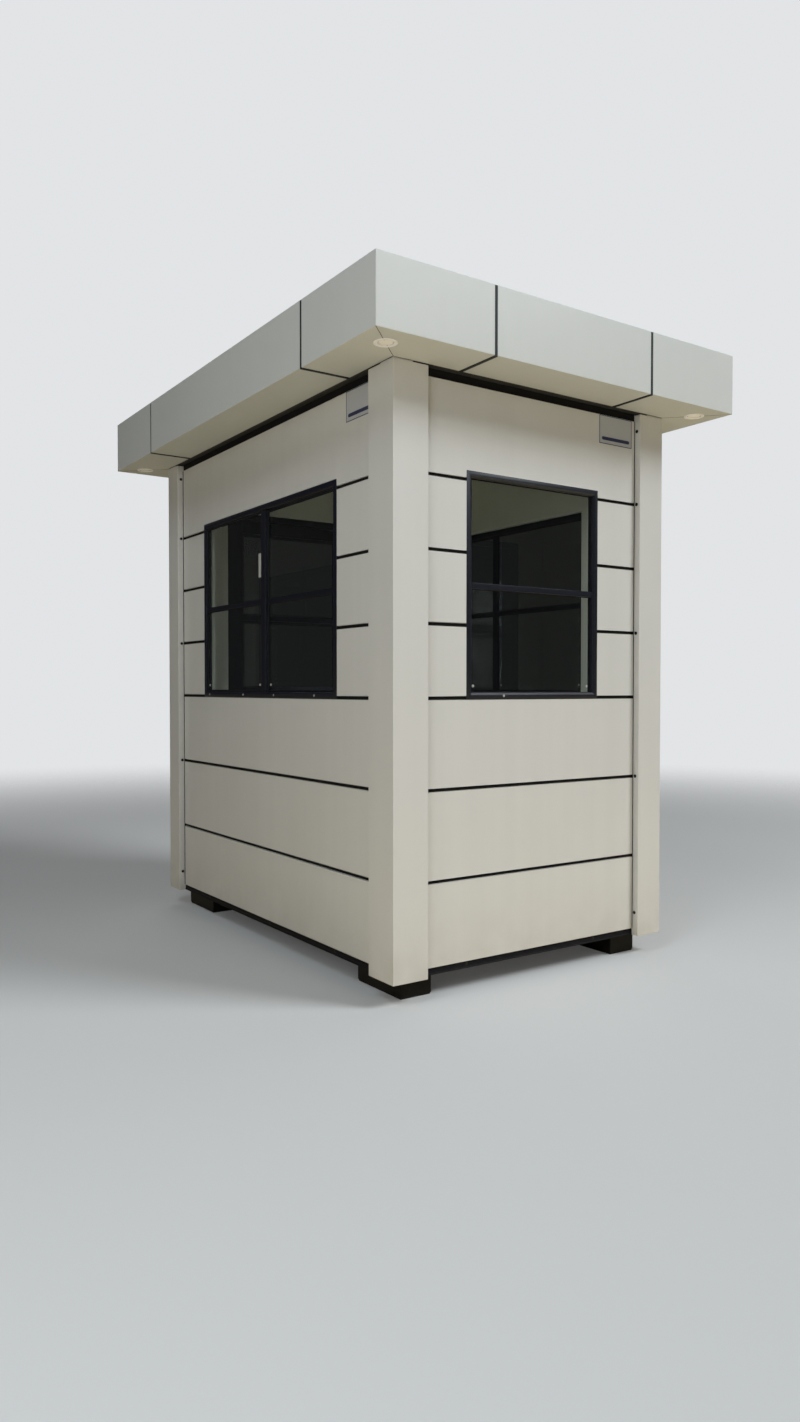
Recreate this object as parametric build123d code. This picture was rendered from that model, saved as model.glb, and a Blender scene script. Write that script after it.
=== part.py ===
from build123d import *
import os

# Prefabricated security guard booth, millimetres.
# Origin: middle of the plan, on the ground. +X is the right wall, -Y the front wall, +Z up.

# Plan, measured over the corner columns
booth_width = 1500.0
booth_length = 2300.0
roof_overhang = 220.0

# Heights, from the ground up
foot_height = 92.0
rail_height = 60.0
cover_drop = 2.0
soffit_level = 2480.0
cover_gap = 5.0
beam_height = 100.0
fascia_height = 265.0
head_strip_height = 34.0

# Rows of cladding boards, counted from their bottom edge and then between joints
board_hang = 30.0
plinth_row = 339.0
low_row = 364.5
low_rows = 2
light_row = 293.0
light_rows = 3
joint_width = 14.0
joint_recess = 8.0
skirting_gap = 2.0

# Wall build-up, each from the outer face of the columns inwards
board_setback = 30.0
board_thick = 14.0
core_thick = 50.0
board_chamfer = 1.2
end_gap = 6.0
side_end_gap = 12.0

# Corner columns. A cover's legs, along the front or back wall and along the side wall
cover_leg_x = 147.0
cover_leg_y = 138.0
near_cover_leg_x = 165.0
near_cover_leg_y = 175.0
sheet_thick = 4.0
fold_radius = 2.5

# Base
rail_width = 80.0
joist_width = 60.0
joist_count = 3
floor_thick = 18.0
skirting_setback = 34.0
foot_size_x = 150.0
foot_size_y = 319.0
foot_inset_x = 89.0
foot_inset_y = 81.0
foot_chamfer = 3.0

# Roof
corner_piece = 533.0
cassette_joint = 15.0
top_flange = 60.0
inner_lip = 20.0
roof_core_thick = 44.0
roof_rib_count = 8
roof_rib_pitch = 240.0
roof_rib_base = 46.0
roof_rib_crest = 26.0
roof_rib_height = 16.0
roof_rib_end = 20.0
ceiling_thick = 20.0
mitre_groove = 2.0
mitre_depth = 1.0
mitre_angle = 45.0
head_strip_setback = 36.0

# Soffit spotlights
spot_rim = 90.0
spot_hole = 76.0
spot_lens = 54.0
spot_rim_thick = 3.0
spot_body = 45.0
spot_lens_depth = 2.0
spot_from_column = 100.0

# Windows
window_height = 922.0
front_window_width = 738.0
front_window_shift = -5.0
side_window_width = 1394.0
left_window_from_front = 469.0
right_window_from_front = 426.0
window_drop = 6.5
window_face = 27.0
window_proud = 4.0
window_depth = 38.0
window_bar = 22.0
pane_thick = 5.0
pane_setback = 22.0
frame_chamfer = 1.5
sash_rail = 8.0
sash_stile = 45.0
sash_thick = 13.0
sash_first_setback = 8.0
sash_track_gap = 2.0

# Door in the back wall
door_width = 848.0
door_head = 2258.0
door_face = 38.0
door_frame_depth = 60.0
door_sill = 24.0
leaf_gap = 3.0
leaf_thick = 44.0
leaf_stile = 62.0
leaf_rail = 70.0
leaf_infill_thick = 20.0
handle_height = 1120.0
handle_plate = (30.0, 8.0, 210.0)
handle_stem = 45.0
handle_bar = 20.0
handle_length = 125.0

# Clearance between a piece and the opening that it sits in, and the reach of a cut past a wall
fit = 0.2
cut_reach = 200.0

half_x = booth_width / 2
half_y = booth_length / 2
board_face = board_setback
core_face = board_setback + board_thick
inner_face = core_face + core_thick
post_size = inner_face - sheet_thick
roof_x = half_x + roof_overhang
roof_y = half_y + roof_overhang
roof_top = soffit_level + fascia_height
beam_top = soffit_level + beam_height
frame_top = foot_height + rail_height
boards_bottom = frame_top - board_hang
boards_top = soffit_level - head_strip_height
skirting_top = boards_bottom - skirting_gap
cover_bottom = foot_height - cover_drop
cover_top = soffit_level - cover_gap
plinth_joint = boards_bottom + plinth_row
sill_joint = plinth_joint + low_rows * low_row
joint_levels = [plinth_joint + i * low_row for i in range(low_rows)]
joint_levels += [sill_joint + i * light_row for i in range(light_rows + 1)]
window_bottom = sill_joint - window_drop
window_top = window_bottom + window_height
bar_level = (window_bottom + window_top) / 2
sides = ("front", "back", "left", "right")
corners = {
    "front_left": (-1, -1),
    "front_right": (1, -1),
    "back_left": (-1, 1),
    "back_right": (1, 1),
}


def block(x0, x1, y0, y1, z0, z1):
    """Box between two corners."""
    size = Box(abs(x1 - x0), abs(y1 - y0), abs(z1 - z0))
    return Pos((x0 + x1) / 2, (y0 + y1) / 2, (z0 + z1) / 2) * size


def wall_block(side, along, depth, height):
    """Box in a wall: its stretch along the wall, its depth from the columns' outer face, its height."""
    (a0, a1), (d0, d1), (z0, z1) = along, depth, height
    if side == "front":
        return block(a0, a1, -half_y + d0, -half_y + d1, z0, z1)
    if side == "back":
        return block(a0, a1, half_y - d0, half_y - d1, z0, z1)
    if side == "left":
        return block(-half_x + d0, -half_x + d1, a0, a1, z0, z1)
    return block(half_x - d0, half_x - d1, a0, a1, z0, z1)


def outward(side):
    """Direction that a wall faces."""
    return {"front": (0, -1), "back": (0, 1), "left": (-1, 0), "right": (1, 0)}[side]


def half_span(side):
    """Half of a wall's length over the columns."""
    return half_x if side in ("front", "back") else half_y


def outer_face_of(piece, side):
    """Face of a piece that looks out of its wall."""
    dx, dy = outward(side)
    return max(piece.faces(), key=lambda face: face.center().X * dx + face.center().Y * dy)


def opening_of(side):
    """Stretch and height of the window or doorway in a wall."""
    if side == "front":
        start = front_window_shift - front_window_width / 2
        return (start, start + front_window_width), (window_bottom, window_top)
    if side == "back":
        return (-door_width / 2, door_width / 2), (frame_top, door_head)
    from_front = left_window_from_front if side == "left" else right_window_from_front
    start = -half_y + from_front
    return (start, start + side_window_width), (window_bottom, window_top)


def opening_cut(side, grow=0.0, floor=None):
    """Block that cuts a wall's opening through every layer of the wall."""
    (a0, a1), (z0, z1) = opening_of(side)
    bottom = z0 - grow if floor is None else floor
    return wall_block(side, (a0 - grow, a1 + grow), (-cut_reach, cut_reach), (bottom, z1 + grow))


def doorway_floor(side):
    """The doorway's cut runs below the boards; a window's stops at its sill."""
    return 0.0 if side == "back" else None


def cover_legs(sx, sy):
    """Legs of a corner's cover; the front left one is wider than the others."""
    if (sx, sy) == corners["front_left"]:
        return near_cover_leg_x, near_cover_leg_y
    return cover_leg_x, cover_leg_y


def column_gap(side):
    """Stretch of a wall between the returns of its two column covers."""
    if side in ("front", "back"):
        sy = -1 if side == "front" else 1
        return -half_x + cover_legs(-1, sy)[0], half_x - cover_legs(1, sy)[0]
    sx = -1 if side == "left" else 1
    return -half_y + cover_legs(sx, -1)[1], half_y - cover_legs(sx, 1)[1]


def board_span(side):
    """Stretch of a wall that its boards cover, short of the column covers by a joint at each end."""
    a0, a1 = column_gap(side)
    gap = end_gap if side in ("front", "back") else side_end_gap
    return a0 + gap, a1 - gap


def support_feet():
    """Four blocks under the base frame."""
    feet = []
    for sx, sy in corners.values():
        x = sx * (half_x - foot_inset_x - foot_size_x / 2)
        y = sy * (half_y - foot_inset_y - foot_size_y / 2)
        foot = Pos(x, y, foot_height / 2) * Box(foot_size_x, foot_size_y, foot_height)
        feet.append(chamfer(foot.edges().filter_by(Axis.Z), foot_chamfer))
    return Compound(children=feet)


def base_frame():
    """Welded ring of rails with joists across, notched for the corner posts."""
    x, y = half_x - core_face, half_y - core_face
    ring = block(-x, x, -y, y, foot_height, frame_top)
    ring -= block(
        -x + rail_width, x - rail_width, -y + rail_width, y - rail_width, foot_height, frame_top
    )
    bay = 2 * y / (joist_count + 1)
    for i in range(joist_count):
        middle = -y + bay * (i + 1)
        ring += block(
            -x + rail_width,
            x - rail_width,
            middle - joist_width / 2,
            middle + joist_width / 2,
            foot_height,
            frame_top,
        )
    for post in post_blocks(foot_height):
        ring -= post
    return ring


def post_blocks(bottom):
    """Square posts inside the column covers."""
    blocks = []
    for sx, sy in corners.values():
        x0, x1 = sx * (half_x - sheet_thick), sx * (half_x - inner_face)
        y0, y1 = sy * (half_y - sheet_thick), sy * (half_y - inner_face)
        blocks.append(block(x0, x1, y0, y1, bottom, soffit_level))
    return blocks


def floor_panel():
    """Floor on the rails' inner ledge and the joists, between the walls."""
    x, y = half_x - inner_face - fit, half_y - inner_face - fit
    return block(-x, x, -y, y, frame_top, frame_top + floor_thick)


def skirting_strips():
    """Dark strip under the boards of each wall, on the base rail's face."""
    strips = []
    for side in sides:
        a0, a1 = column_gap(side)
        along = (a0 + fit, a1 - fit)
        strips.append(
            wall_block(side, along, (skirting_setback, core_face), (foot_height, skirting_top))
        )
    return Compound(children=strips)


def column_cover(sx, sy):
    """Folded cover: two legs round the corner, each with a return in to the wall core."""
    x, y = sx * half_x, sy * half_y
    leg_x, leg_y = cover_legs(sx, sy)
    outer = block(x, x - sx * leg_x, y, y - sy * leg_y, cover_bottom, cover_top)
    fold = outer.edges().filter_by(Axis.Z).sort_by_distance(Vector(x, y, cover_bottom))[0]
    outer = fillet(fold, fold_radius)
    inside = block(
        x - sx * sheet_thick,
        x - sx * (leg_x - sheet_thick),
        y - sy * sheet_thick,
        y - sy * (leg_y - sheet_thick),
        cover_bottom,
        cover_top,
    )
    behind = block(
        x - sx * core_face,
        x - sx * leg_x,
        y - sy * core_face,
        y - sy * leg_y,
        cover_bottom,
        cover_top,
    )
    return outer - inside - behind


def wall_core(side):
    """Insulated panel between two posts, with its window or doorway cut through."""
    reach = half_span(side) - inner_face
    core = wall_block(side, (-reach, reach), (core_face, inner_face), (frame_top, soffit_level))
    return core - opening_cut(side, fit, doorway_floor(side))


def board_rows():
    """Bottom and top of each row of boards."""
    bottoms = [boards_bottom] + [level + joint_width / 2 for level in joint_levels]
    tops = [level - joint_width / 2 for level in joint_levels] + [boards_top]
    return list(zip(bottoms, tops))


def cladding(side):
    """Flat composite boards, split where the window or doorway interrupts them."""
    boards = []
    for z0, z1 in board_rows():
        board = wall_block(side, board_span(side), (board_face, core_face), (z0, z1))
        board = chamfer(outer_face_of(board, side).edges(), board_chamfer)
        board -= opening_cut(side, fit, doorway_floor(side))
        boards += board.solids()
    return Compound(children=boards)


def joint_strips():
    """Dark strips that fill the joints between boards and at their ends, behind the boards' face."""
    strips = []
    for side in sides:
        a0, a1 = column_gap(side)
        b0, b1 = board_span(side)
        depth = (board_face + joint_recess, core_face)
        strips.append(wall_block(side, (a0 + fit, b0), depth, (boards_bottom, boards_top)))
        strips.append(wall_block(side, (b1, a1 - fit), depth, (boards_bottom, boards_top)))
        for level in joint_levels:
            height = (level - joint_width / 2, level + joint_width / 2)
            strip = wall_block(side, (b0 + fit, b1 - fit), depth, height)
            strip -= opening_cut(side, fit, doorway_floor(side))
            strips += strip.solids()
    return Compound(children=strips)


def head_strips():
    """Dark strip between the top boards and the roof beam."""
    strips = []
    for side in sides:
        a0, a1 = column_gap(side)
        strips.append(
            wall_block(
                side, (a0 + fit, a1 - fit), (head_strip_setback, core_face), (boards_top, soffit_level)
            )
        )
    return Compound(children=strips)


def ring_in_wall(side, along, depth, height, face):
    """Rectangular frame of one face width in the plane of a wall."""
    (a0, a1), (z0, z1) = along, height
    outer = wall_block(side, along, depth, height)
    return outer - wall_block(side, (a0 + face, a1 - face), depth, (z0 + face, z1 - face))


def window_frame(side):
    """Outer frame of a window, standing a little proud of the boards."""
    along, height = opening_of(side)
    start = board_face - window_proud
    depth = (start, start + window_depth)
    frame = wall_block(side, along, depth, height)
    frame = chamfer(outer_face_of(frame, side).edges(), frame_chamfer)
    (a0, a1), (z0, z1) = along, height
    light = (a0 + window_face, a1 - window_face)
    frame -= wall_block(side, light, depth, (z0 + window_face, z1 - window_face))
    if side == "front":
        bar = (bar_level - window_bar / 2, bar_level + window_bar / 2)
        bar_depth = (start + sash_first_setback, start + window_depth)
        frame += wall_block(side, light, bar_depth, bar)
    return frame


def front_window_glass():
    """Two fixed panes, over and under the bar."""
    (a0, a1), (z0, z1) = opening_of("front")
    start = board_face - window_proud + pane_setback
    edge = window_face + fit
    panes = []
    for low, high in (
        (z0 + edge, bar_level - window_bar / 2 - fit),
        (bar_level + window_bar / 2 + fit, z1 - edge),
    ):
        panes.append(
            wall_block("front", (a0 + edge, a1 - edge), (start, start + pane_thick), (low, high))
        )
    return Compound(children=panes)


def sash_layout(side):
    """Stretch, depth and which end holds the meeting stile, for the outer and the inner sash."""
    (a0, a1), _ = opening_of(side)
    middle = (a0 + a1) / 2
    edge = window_face + fit
    outer_start = board_face - window_proud + sash_first_setback
    inner_start = outer_start + sash_thick + sash_track_gap
    return {
        "outer": ((middle - sash_stile / 2, a1 - edge), outer_start, "low"),
        "inner": ((a0 + edge, middle + sash_stile / 2), inner_start, "high"),
    }


def sash_light(side, which):
    """Stretches of the two panes of a sash, inside its rails and either side of its bar."""
    (a0, a1), start, stile_end = sash_layout(side)[which]
    _, (z0, z1) = opening_of(side)
    low = a0 + (sash_stile if stile_end == "low" else sash_rail)
    high = a1 - (sash_stile if stile_end == "high" else sash_rail)
    bottom = z0 + window_face + fit + sash_rail
    top = z1 - window_face - fit - sash_rail
    half_bar = window_bar / 2
    return (low, high), ((bottom, bar_level - half_bar), (bar_level + half_bar, top)), start


def window_sash(side, which):
    """Sliding sash: slim rails, a wide meeting stile and a bar across."""
    along, start, _ = sash_layout(side)[which]
    _, (z0, z1) = opening_of(side)
    depth = (start, start + sash_thick)
    edge = window_face + fit
    sash = wall_block(side, along, depth, (z0 + edge, z1 - edge))
    light, lights_z, _ = sash_light(side, which)
    for heights in lights_z:
        sash -= wall_block(side, light, depth, heights)
    return sash


def window_glass(side):
    """Panes of both sashes."""
    panes = []
    for which in ("outer", "inner"):
        (a0, a1), lights_z, start = sash_light(side, which)
        middle = start + sash_thick / 2
        depth = (middle - pane_thick / 2, middle + pane_thick / 2)
        for low, high in lights_z:
            panes.append(wall_block(side, (a0 + fit, a1 - fit), depth, (low + fit, high - fit)))
    return Compound(children=panes)


def door_frame():
    """Frame round the doorway, with a low sill."""
    (a0, a1), (z0, z1) = opening_of("back")
    start = board_face - window_proud
    depth = (start, start + door_frame_depth)
    frame = wall_block("back", (a0, a1), depth, (z0, z1))
    light = (a0 + door_face, a1 - door_face)
    frame -= wall_block("back", light, depth, (z0 + door_sill, z1 - door_face))
    return frame


def leaf_box():
    """Stretch, depth and height of the door leaf."""
    (a0, a1), (z0, z1) = opening_of("back")
    edge = door_face + leaf_gap
    start = board_face - window_proud + frame_chamfer
    along = (a0 + edge, a1 - edge)
    return along, (start, start + leaf_thick), (z0 + door_sill + fit, z1 - edge)


def leaf_lights():
    """Stretch of the leaf's infills, and the heights of its panel and its two panes."""
    (a0, a1), _, (z0, z1) = leaf_box()
    along = (a0 + leaf_stile, a1 - leaf_stile)
    panel = (z0 + leaf_rail, sill_joint - leaf_rail / 2)
    half_bar = window_bar / 2
    lower = (sill_joint + leaf_rail / 2, bar_level - half_bar)
    upper = (bar_level + half_bar, z1 - leaf_rail)
    return along, panel, lower, upper


def door_leaf():
    """Door leaf with stiles, rails, a bar and a flat lower panel."""
    along, depth, height = leaf_box()
    leaf = wall_block("back", along, depth, height)
    light, panel, lower, upper = leaf_lights()
    for heights in (lower, upper):
        leaf -= wall_block("back", light, depth, heights)
    recess = (leaf_thick - leaf_infill_thick) / 2
    leaf -= wall_block("back", light, (depth[0], depth[0] + recess), panel)
    leaf -= wall_block("back", light, (depth[1] - recess, depth[1]), panel)
    return leaf


def door_glass():
    """Two panes of the door."""
    (a0, a1), _, lower, upper = leaf_lights()
    _, (d0, d1), _ = leaf_box()
    middle = (d0 + d1) / 2
    depth = (middle - pane_thick / 2, middle + pane_thick / 2)
    panes = []
    for low, high in (lower, upper):
        panes.append(wall_block("back", (a0 + fit, a1 - fit), depth, (low + fit, high - fit)))
    return Compound(children=panes)


def door_handle():
    """Lever handles on both faces of the leaf's lock stile."""
    (a0, _), (d0, d1), _ = leaf_box()
    plate_width, plate_thick, plate_height = handle_plate
    middle = a0 + leaf_stile / 2
    levers = []
    for face, way in ((d0, -1), (d1, 1)):
        plate = wall_block(
            "back",
            (middle - plate_width / 2, middle + plate_width / 2),
            (face, face + way * plate_thick),
            (handle_height - plate_height / 2, handle_height + plate_height / 2),
        )
        end = face + way * (plate_thick + handle_stem)
        half_bar = handle_bar / 2
        stem = wall_block(
            "back",
            (middle - half_bar, middle + half_bar),
            (face + way * plate_thick, end),
            (handle_height - half_bar, handle_height + half_bar),
        )
        lever = wall_block(
            "back",
            (middle - half_bar, middle + handle_length),
            (end - way * handle_bar, end),
            (handle_height - half_bar, handle_height + half_bar),
        )
        levers.append(plate + stem + lever)
    return Compound(children=levers)


def roof_beam():
    """Ring of beams on the posts and walls."""
    ring = block(-half_x, half_x, -half_y, half_y, soffit_level, beam_top)
    x, y = half_x - inner_face, half_y - inner_face
    return ring - block(-x, x, -y, y, soffit_level, beam_top)


def ceiling_panel():
    """Ceiling inside the ring of beams."""
    x, y = half_x - inner_face - fit, half_y - inner_face - fit
    return block(-x, x, -y, y, soffit_level, soffit_level + ceiling_thick)


def roof_panel():
    """Roof panel on the beams, out to the fascia, with raised ribs along its upper sheet."""
    x, y = roof_x - sheet_thick - fit, roof_y - sheet_thick - fit
    core_top = beam_top + roof_core_thick
    panel = block(-x, x, -y, y, beam_top, core_top)
    base, crest = roof_rib_base / 2, roof_rib_crest / 2
    section = Polygon(
        (-base, 0), (base, 0), (crest, roof_rib_height), (-crest, roof_rib_height), align=None
    )
    rib = extrude(Plane.XZ * section, y - roof_rib_end, both=True)
    first = -roof_rib_pitch * (roof_rib_count - 1) / 2
    for i in range(roof_rib_count):
        panel += Pos(first + i * roof_rib_pitch, 0, core_top) * rib
    return panel


def roof_skin():
    """Whole folded edge of the roof: soffit, fascia, top flange and the lip on the beam."""
    body = block(-roof_x, roof_x, -roof_y, roof_y, soffit_level, roof_top)
    body = fillet(body.edges(), fold_radius)
    x, y = roof_x - sheet_thick, roof_y - sheet_thick
    low, high = soffit_level + sheet_thick, roof_top - sheet_thick
    body -= block(-x, x, -y, y, low, high)
    x, y = half_x + sheet_thick, half_y + sheet_thick
    body += block(-x, x, -y, y, soffit_level, soffit_level + inner_lip)
    x, y = half_x + fit, half_y + fit
    body -= block(-x, x, -y, y, soffit_level, soffit_level + inner_lip)
    x, y = roof_x - top_flange, roof_y - top_flange
    return body - block(-x, x, -y, y, high, roof_top)


def spot_place(sx, sy):
    """Centre of the spotlight in a corner's soffit."""
    return sx * (half_x + spot_from_column), sy * (half_y + spot_from_column)


def corner_cassette(skin, sx, sy):
    """Corner piece of the roof's edge, with a mitre line and a hole for the spotlight."""
    x, y = sx * roof_x, sy * roof_y
    piece = skin & block(
        x, x - sx * corner_piece, y, y - sy * corner_piece, soffit_level, roof_top
    )
    mitre = Box(2 * roof_overhang + cut_reach, mitre_groove, 2 * mitre_depth)
    piece -= Pos(x, y, soffit_level) * Rot(0, 0, sx * sy * mitre_angle) * mitre
    spot_x, spot_y = spot_place(sx, sy)
    return piece - Pos(spot_x, spot_y, soffit_level) * Cylinder(spot_hole / 2, cut_reach / 2)


def middle_cassette(skin, side):
    """Straight piece of the roof's edge between two corner pieces."""
    reach = half_span(side) + roof_overhang - corner_piece - cassette_joint
    keep = wall_block(
        side, (-reach, reach), (-roof_overhang, top_flange), (soffit_level, roof_top)
    )
    return skin & keep


def soffit_spotlights():
    """Round spotlights: a rim under the soffit, a body through it and a sunk lens."""
    lights = []
    for sx, sy in corners.values():
        x, y = spot_place(sx, sy)
        rim_bottom = soffit_level - spot_rim_thick
        light = Pos(x, y, soffit_level - spot_rim_thick / 2) * Cylinder(spot_rim / 2, spot_rim_thick)
        body_radius = spot_hole / 2 - fit
        light += Pos(x, y, soffit_level + spot_body / 2) * Cylinder(body_radius, spot_body)
        lens = Cylinder(spot_lens / 2, 2 * spot_lens_depth)
        lights.append(light - Pos(x, y, rim_bottom) * lens)
    return Compound(children=lights)


def build():
    """Every node of the booth by name."""
    skin = roof_skin()
    nodes = {
        "support_feet": support_feet(),
        "base_frame": base_frame(),
        "floor_panel": floor_panel(),
        "skirting_strips": skirting_strips(),
        "corner_posts": Compound(children=post_blocks(foot_height)),
        "joint_strips": joint_strips(),
        "head_strips": head_strips(),
        "front_window_frame": window_frame("front"),
        "front_window_glass": front_window_glass(),
        "door_frame": door_frame(),
        "door_leaf": door_leaf(),
        "door_glass": door_glass(),
        "door_handle": door_handle(),
        "roof_beam": roof_beam(),
        "ceiling_panel": ceiling_panel(),
        "roof_panel": roof_panel(),
        "soffit_spotlights": soffit_spotlights(),
    }
    for name, (sx, sy) in corners.items():
        nodes[f"{name}_column_cover"] = column_cover(sx, sy)
        nodes[f"{name}_roof_cassette"] = corner_cassette(skin, sx, sy)
    for side in sides:
        nodes[f"{side}_wall"] = wall_core(side)
        nodes[f"{side}_cladding"] = cladding(side)
        nodes[f"{side}_roof_cassette"] = middle_cassette(skin, side)
    for side in ("left", "right"):
        nodes[f"{side}_window_frame"] = window_frame(side)
        nodes[f"{side}_window_glass"] = window_glass(side)
        for which in ("outer", "inner"):
            nodes[f"{side}_window_{which}_sash"] = window_sash(side, which)
    return nodes


os.makedirs("parts", exist_ok=True)
for node, shape in build().items():
    export_step(shape, f"parts/{node}.step")
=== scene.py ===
import math

import bmesh
import bpy
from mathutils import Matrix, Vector


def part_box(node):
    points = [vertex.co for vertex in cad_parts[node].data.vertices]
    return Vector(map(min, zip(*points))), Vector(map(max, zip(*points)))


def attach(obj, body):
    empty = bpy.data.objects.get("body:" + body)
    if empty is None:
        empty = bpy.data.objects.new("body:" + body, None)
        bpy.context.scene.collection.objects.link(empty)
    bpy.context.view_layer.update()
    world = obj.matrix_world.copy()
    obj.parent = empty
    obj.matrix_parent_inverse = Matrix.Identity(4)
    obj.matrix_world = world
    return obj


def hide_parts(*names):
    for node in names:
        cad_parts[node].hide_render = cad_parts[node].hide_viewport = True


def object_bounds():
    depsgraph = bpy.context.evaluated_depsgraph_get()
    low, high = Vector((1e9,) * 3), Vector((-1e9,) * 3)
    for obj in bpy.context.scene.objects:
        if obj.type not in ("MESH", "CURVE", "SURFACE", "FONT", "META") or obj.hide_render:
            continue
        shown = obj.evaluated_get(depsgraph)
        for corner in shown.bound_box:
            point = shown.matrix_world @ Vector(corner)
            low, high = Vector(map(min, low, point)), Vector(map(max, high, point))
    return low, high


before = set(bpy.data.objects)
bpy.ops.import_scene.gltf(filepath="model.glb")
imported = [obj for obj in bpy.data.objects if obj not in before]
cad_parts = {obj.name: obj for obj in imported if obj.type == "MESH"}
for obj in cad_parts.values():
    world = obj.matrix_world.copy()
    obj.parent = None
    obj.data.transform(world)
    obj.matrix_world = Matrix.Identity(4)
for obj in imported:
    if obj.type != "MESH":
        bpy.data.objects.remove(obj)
cad_low, cad_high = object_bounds()

# Support feet. Four box-section steel feet, painted satin black and welded under the corners of
# the base, each standing on a thin rubber pad. A trace of street dust lies on them.

foot_width = 0.150
foot_length = 0.319
foot_round = 0.003
pad_thick = 0.006
pad_inset = 0.003
pad_round = 0.001
black_paint = (0.004, 0.004, 0.005)
rubber_black = (0.008, 0.008, 0.009)
plain_grey = (0.8, 0.8, 0.8, 1.0)
noise_gain = 4.0
patch_scale = 1.6
streak_stretch = (13.0, 13.0, 0.35)
dulling_scale = 5.0
street_dust = (0.30, 0.27, 0.22, 1.0)
dust_falloff = 1.6
dust_roughness = 0.95
dust_clouds = (0.7, 0.5)
dust_cloud_scale = 9.0
wave_scale = 2.4
peel_scale = 420.0
corners = {"front_left": (-1, -1), "front_right": (1, -1), "back_left": (-1, 1), "back_right": (1, 1)}


def add(tree, kind, inputs=None, **settings):
    """A new node: its settings, and its inputs as values or as sockets to link from."""
    made = tree.nodes.new(kind)
    for name, value in settings.items():
        setattr(made, name, value)
    for name, value in (inputs or {}).items():
        if isinstance(value, bpy.types.NodeSocket):
            tree.links.new(value, made.inputs[name])
        else:
            made.inputs[name].default_value = value
    return made


def calc(tree, operation, *values):
    """Result of a Math node on numbers or sockets."""
    return add(tree, "ShaderNodeMath", dict(enumerate(values)), operation=operation).outputs[0]


def blend(tree, mask, first, second):
    """Colour between two others, by a mask."""
    inputs = {"Factor": mask, 6: first, 7: second}
    return add(tree, "ShaderNodeMix", inputs, data_type="RGBA").outputs[2]


def between(tree, mask, first, second):
    """Number between two others, by a mask."""
    return add(tree, "ShaderNodeMix", {"Factor": mask, 2: first, 3: second}).outputs[0]


def place_on(tree):
    """Place on the piece, in metres."""
    return add(tree, "ShaderNodeTexCoord").outputs["Object"]


def split(tree, vector):
    """X, Y and Z of a vector."""
    return add(tree, "ShaderNodeSeparateXYZ", {"Vector": vector}).outputs


def uneven(tree, middle, swing, scale, detail=2.0, stretch=(1.0, 1.0, 1.0)):
    """Value that wanders over the piece, mostly within a swing either way of its middle."""
    place = add(tree, "ShaderNodeMapping", {"Vector": place_on(tree), "Scale": stretch}).outputs["Vector"]
    noise = add(tree, "ShaderNodeTexNoise", {"Vector": place, "Scale": scale, "Detail": detail})
    centred = calc(tree, "MULTIPLY", calc(tree, "SUBTRACT", noise.outputs[0], 0.5), noise_gain)
    return calc(tree, "ADD", middle, calc(tree, "MULTIPLY", centred, swing))


def masked(tree, *factors):
    """Product of the factors, kept between 0 and 1."""
    mask = factors[0]
    for factor in factors[1:]:
        mask = calc(tree, "MULTIPLY", mask, factor)
    return calc(tree, "MINIMUM", calc(tree, "MAXIMUM", mask, 0.0), 1.0)


def socket_kind(value):
    """Kind of socket for a value; a word names the kind of a socket that holds no plain value."""
    if isinstance(value, str):
        return f"NodeSocket{value}"
    if isinstance(value, tuple):
        return "NodeSocketColor" if len(value) == 4 else "NodeSocketVector"
    return "NodeSocketInt" if isinstance(value, int) else "NodeSocketFloat"


def new_group(name, kind, inputs, outputs):
    """Node group with named inputs, by value or kind, and named outputs, by kind."""
    made = bpy.data.node_groups.new(name, kind)
    for label, value in inputs.items():
        socket = made.interface.new_socket(label, in_out="INPUT", socket_type=socket_kind(value))
        if not isinstance(value, str):
            socket.default_value = value
    for label, word in outputs.items():
        made.interface.new_socket(label, in_out="OUTPUT", socket_type=socket_kind(word))
    return made, add(made, "NodeGroupInput").outputs


def surface_tone_group():
    """Uneven tone of a coating: broad patches, vertical streaks and patches of duller gloss."""
    made, given = new_group(
        "Surface tone",
        "ShaderNodeTree",
        {"Color": plain_grey, "Roughness": 0.5, "Patches": 0.01, "Streaks": 0.0, "Dulling": 0.03},
        {"Color": "Color", "Roughness": "Float"},
    )
    shade = uneven(made, 1.0, given["Patches"], patch_scale, 3.0)
    shade = uneven(made, shade, given["Streaks"], 1.0, 4.0, streak_stretch)
    color = add(made, "ShaderNodeVectorMath", {0: given["Color"], "Scale": shade}, operation="SCALE")
    roughness = uneven(made, given["Roughness"], given["Dulling"], dulling_scale, 4.0)
    add(made, "NodeGroupOutput", {"Color": color.outputs[0], "Roughness": roughness})
    return made


def ground_dust_group():
    """Dust that thins out upwards from the ground."""
    made, given = new_group(
        "Ground dust",
        "ShaderNodeTree",
        {"Color": plain_grey, "Roughness": 0.5, "Amount": 0.3, "Reach": 0.3},
        {"Color": "Color", "Roughness": "Float"},
    )
    height = split(made, place_on(made))["Z"]
    left = calc(made, "SUBTRACT", 1.0, calc(made, "DIVIDE", height, given["Reach"]))
    fade = calc(made, "POWER", calc(made, "MAXIMUM", left, 0.0), dust_falloff)
    mask = masked(made, fade, uneven(made, *dust_clouds, dust_cloud_scale, 5.0), given["Amount"])
    color = blend(made, mask, given["Color"], street_dust)
    matt = between(made, mask, given["Roughness"], dust_roughness)
    add(made, "NodeGroupOutput", {"Color": color, "Roughness": matt})
    return made


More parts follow.
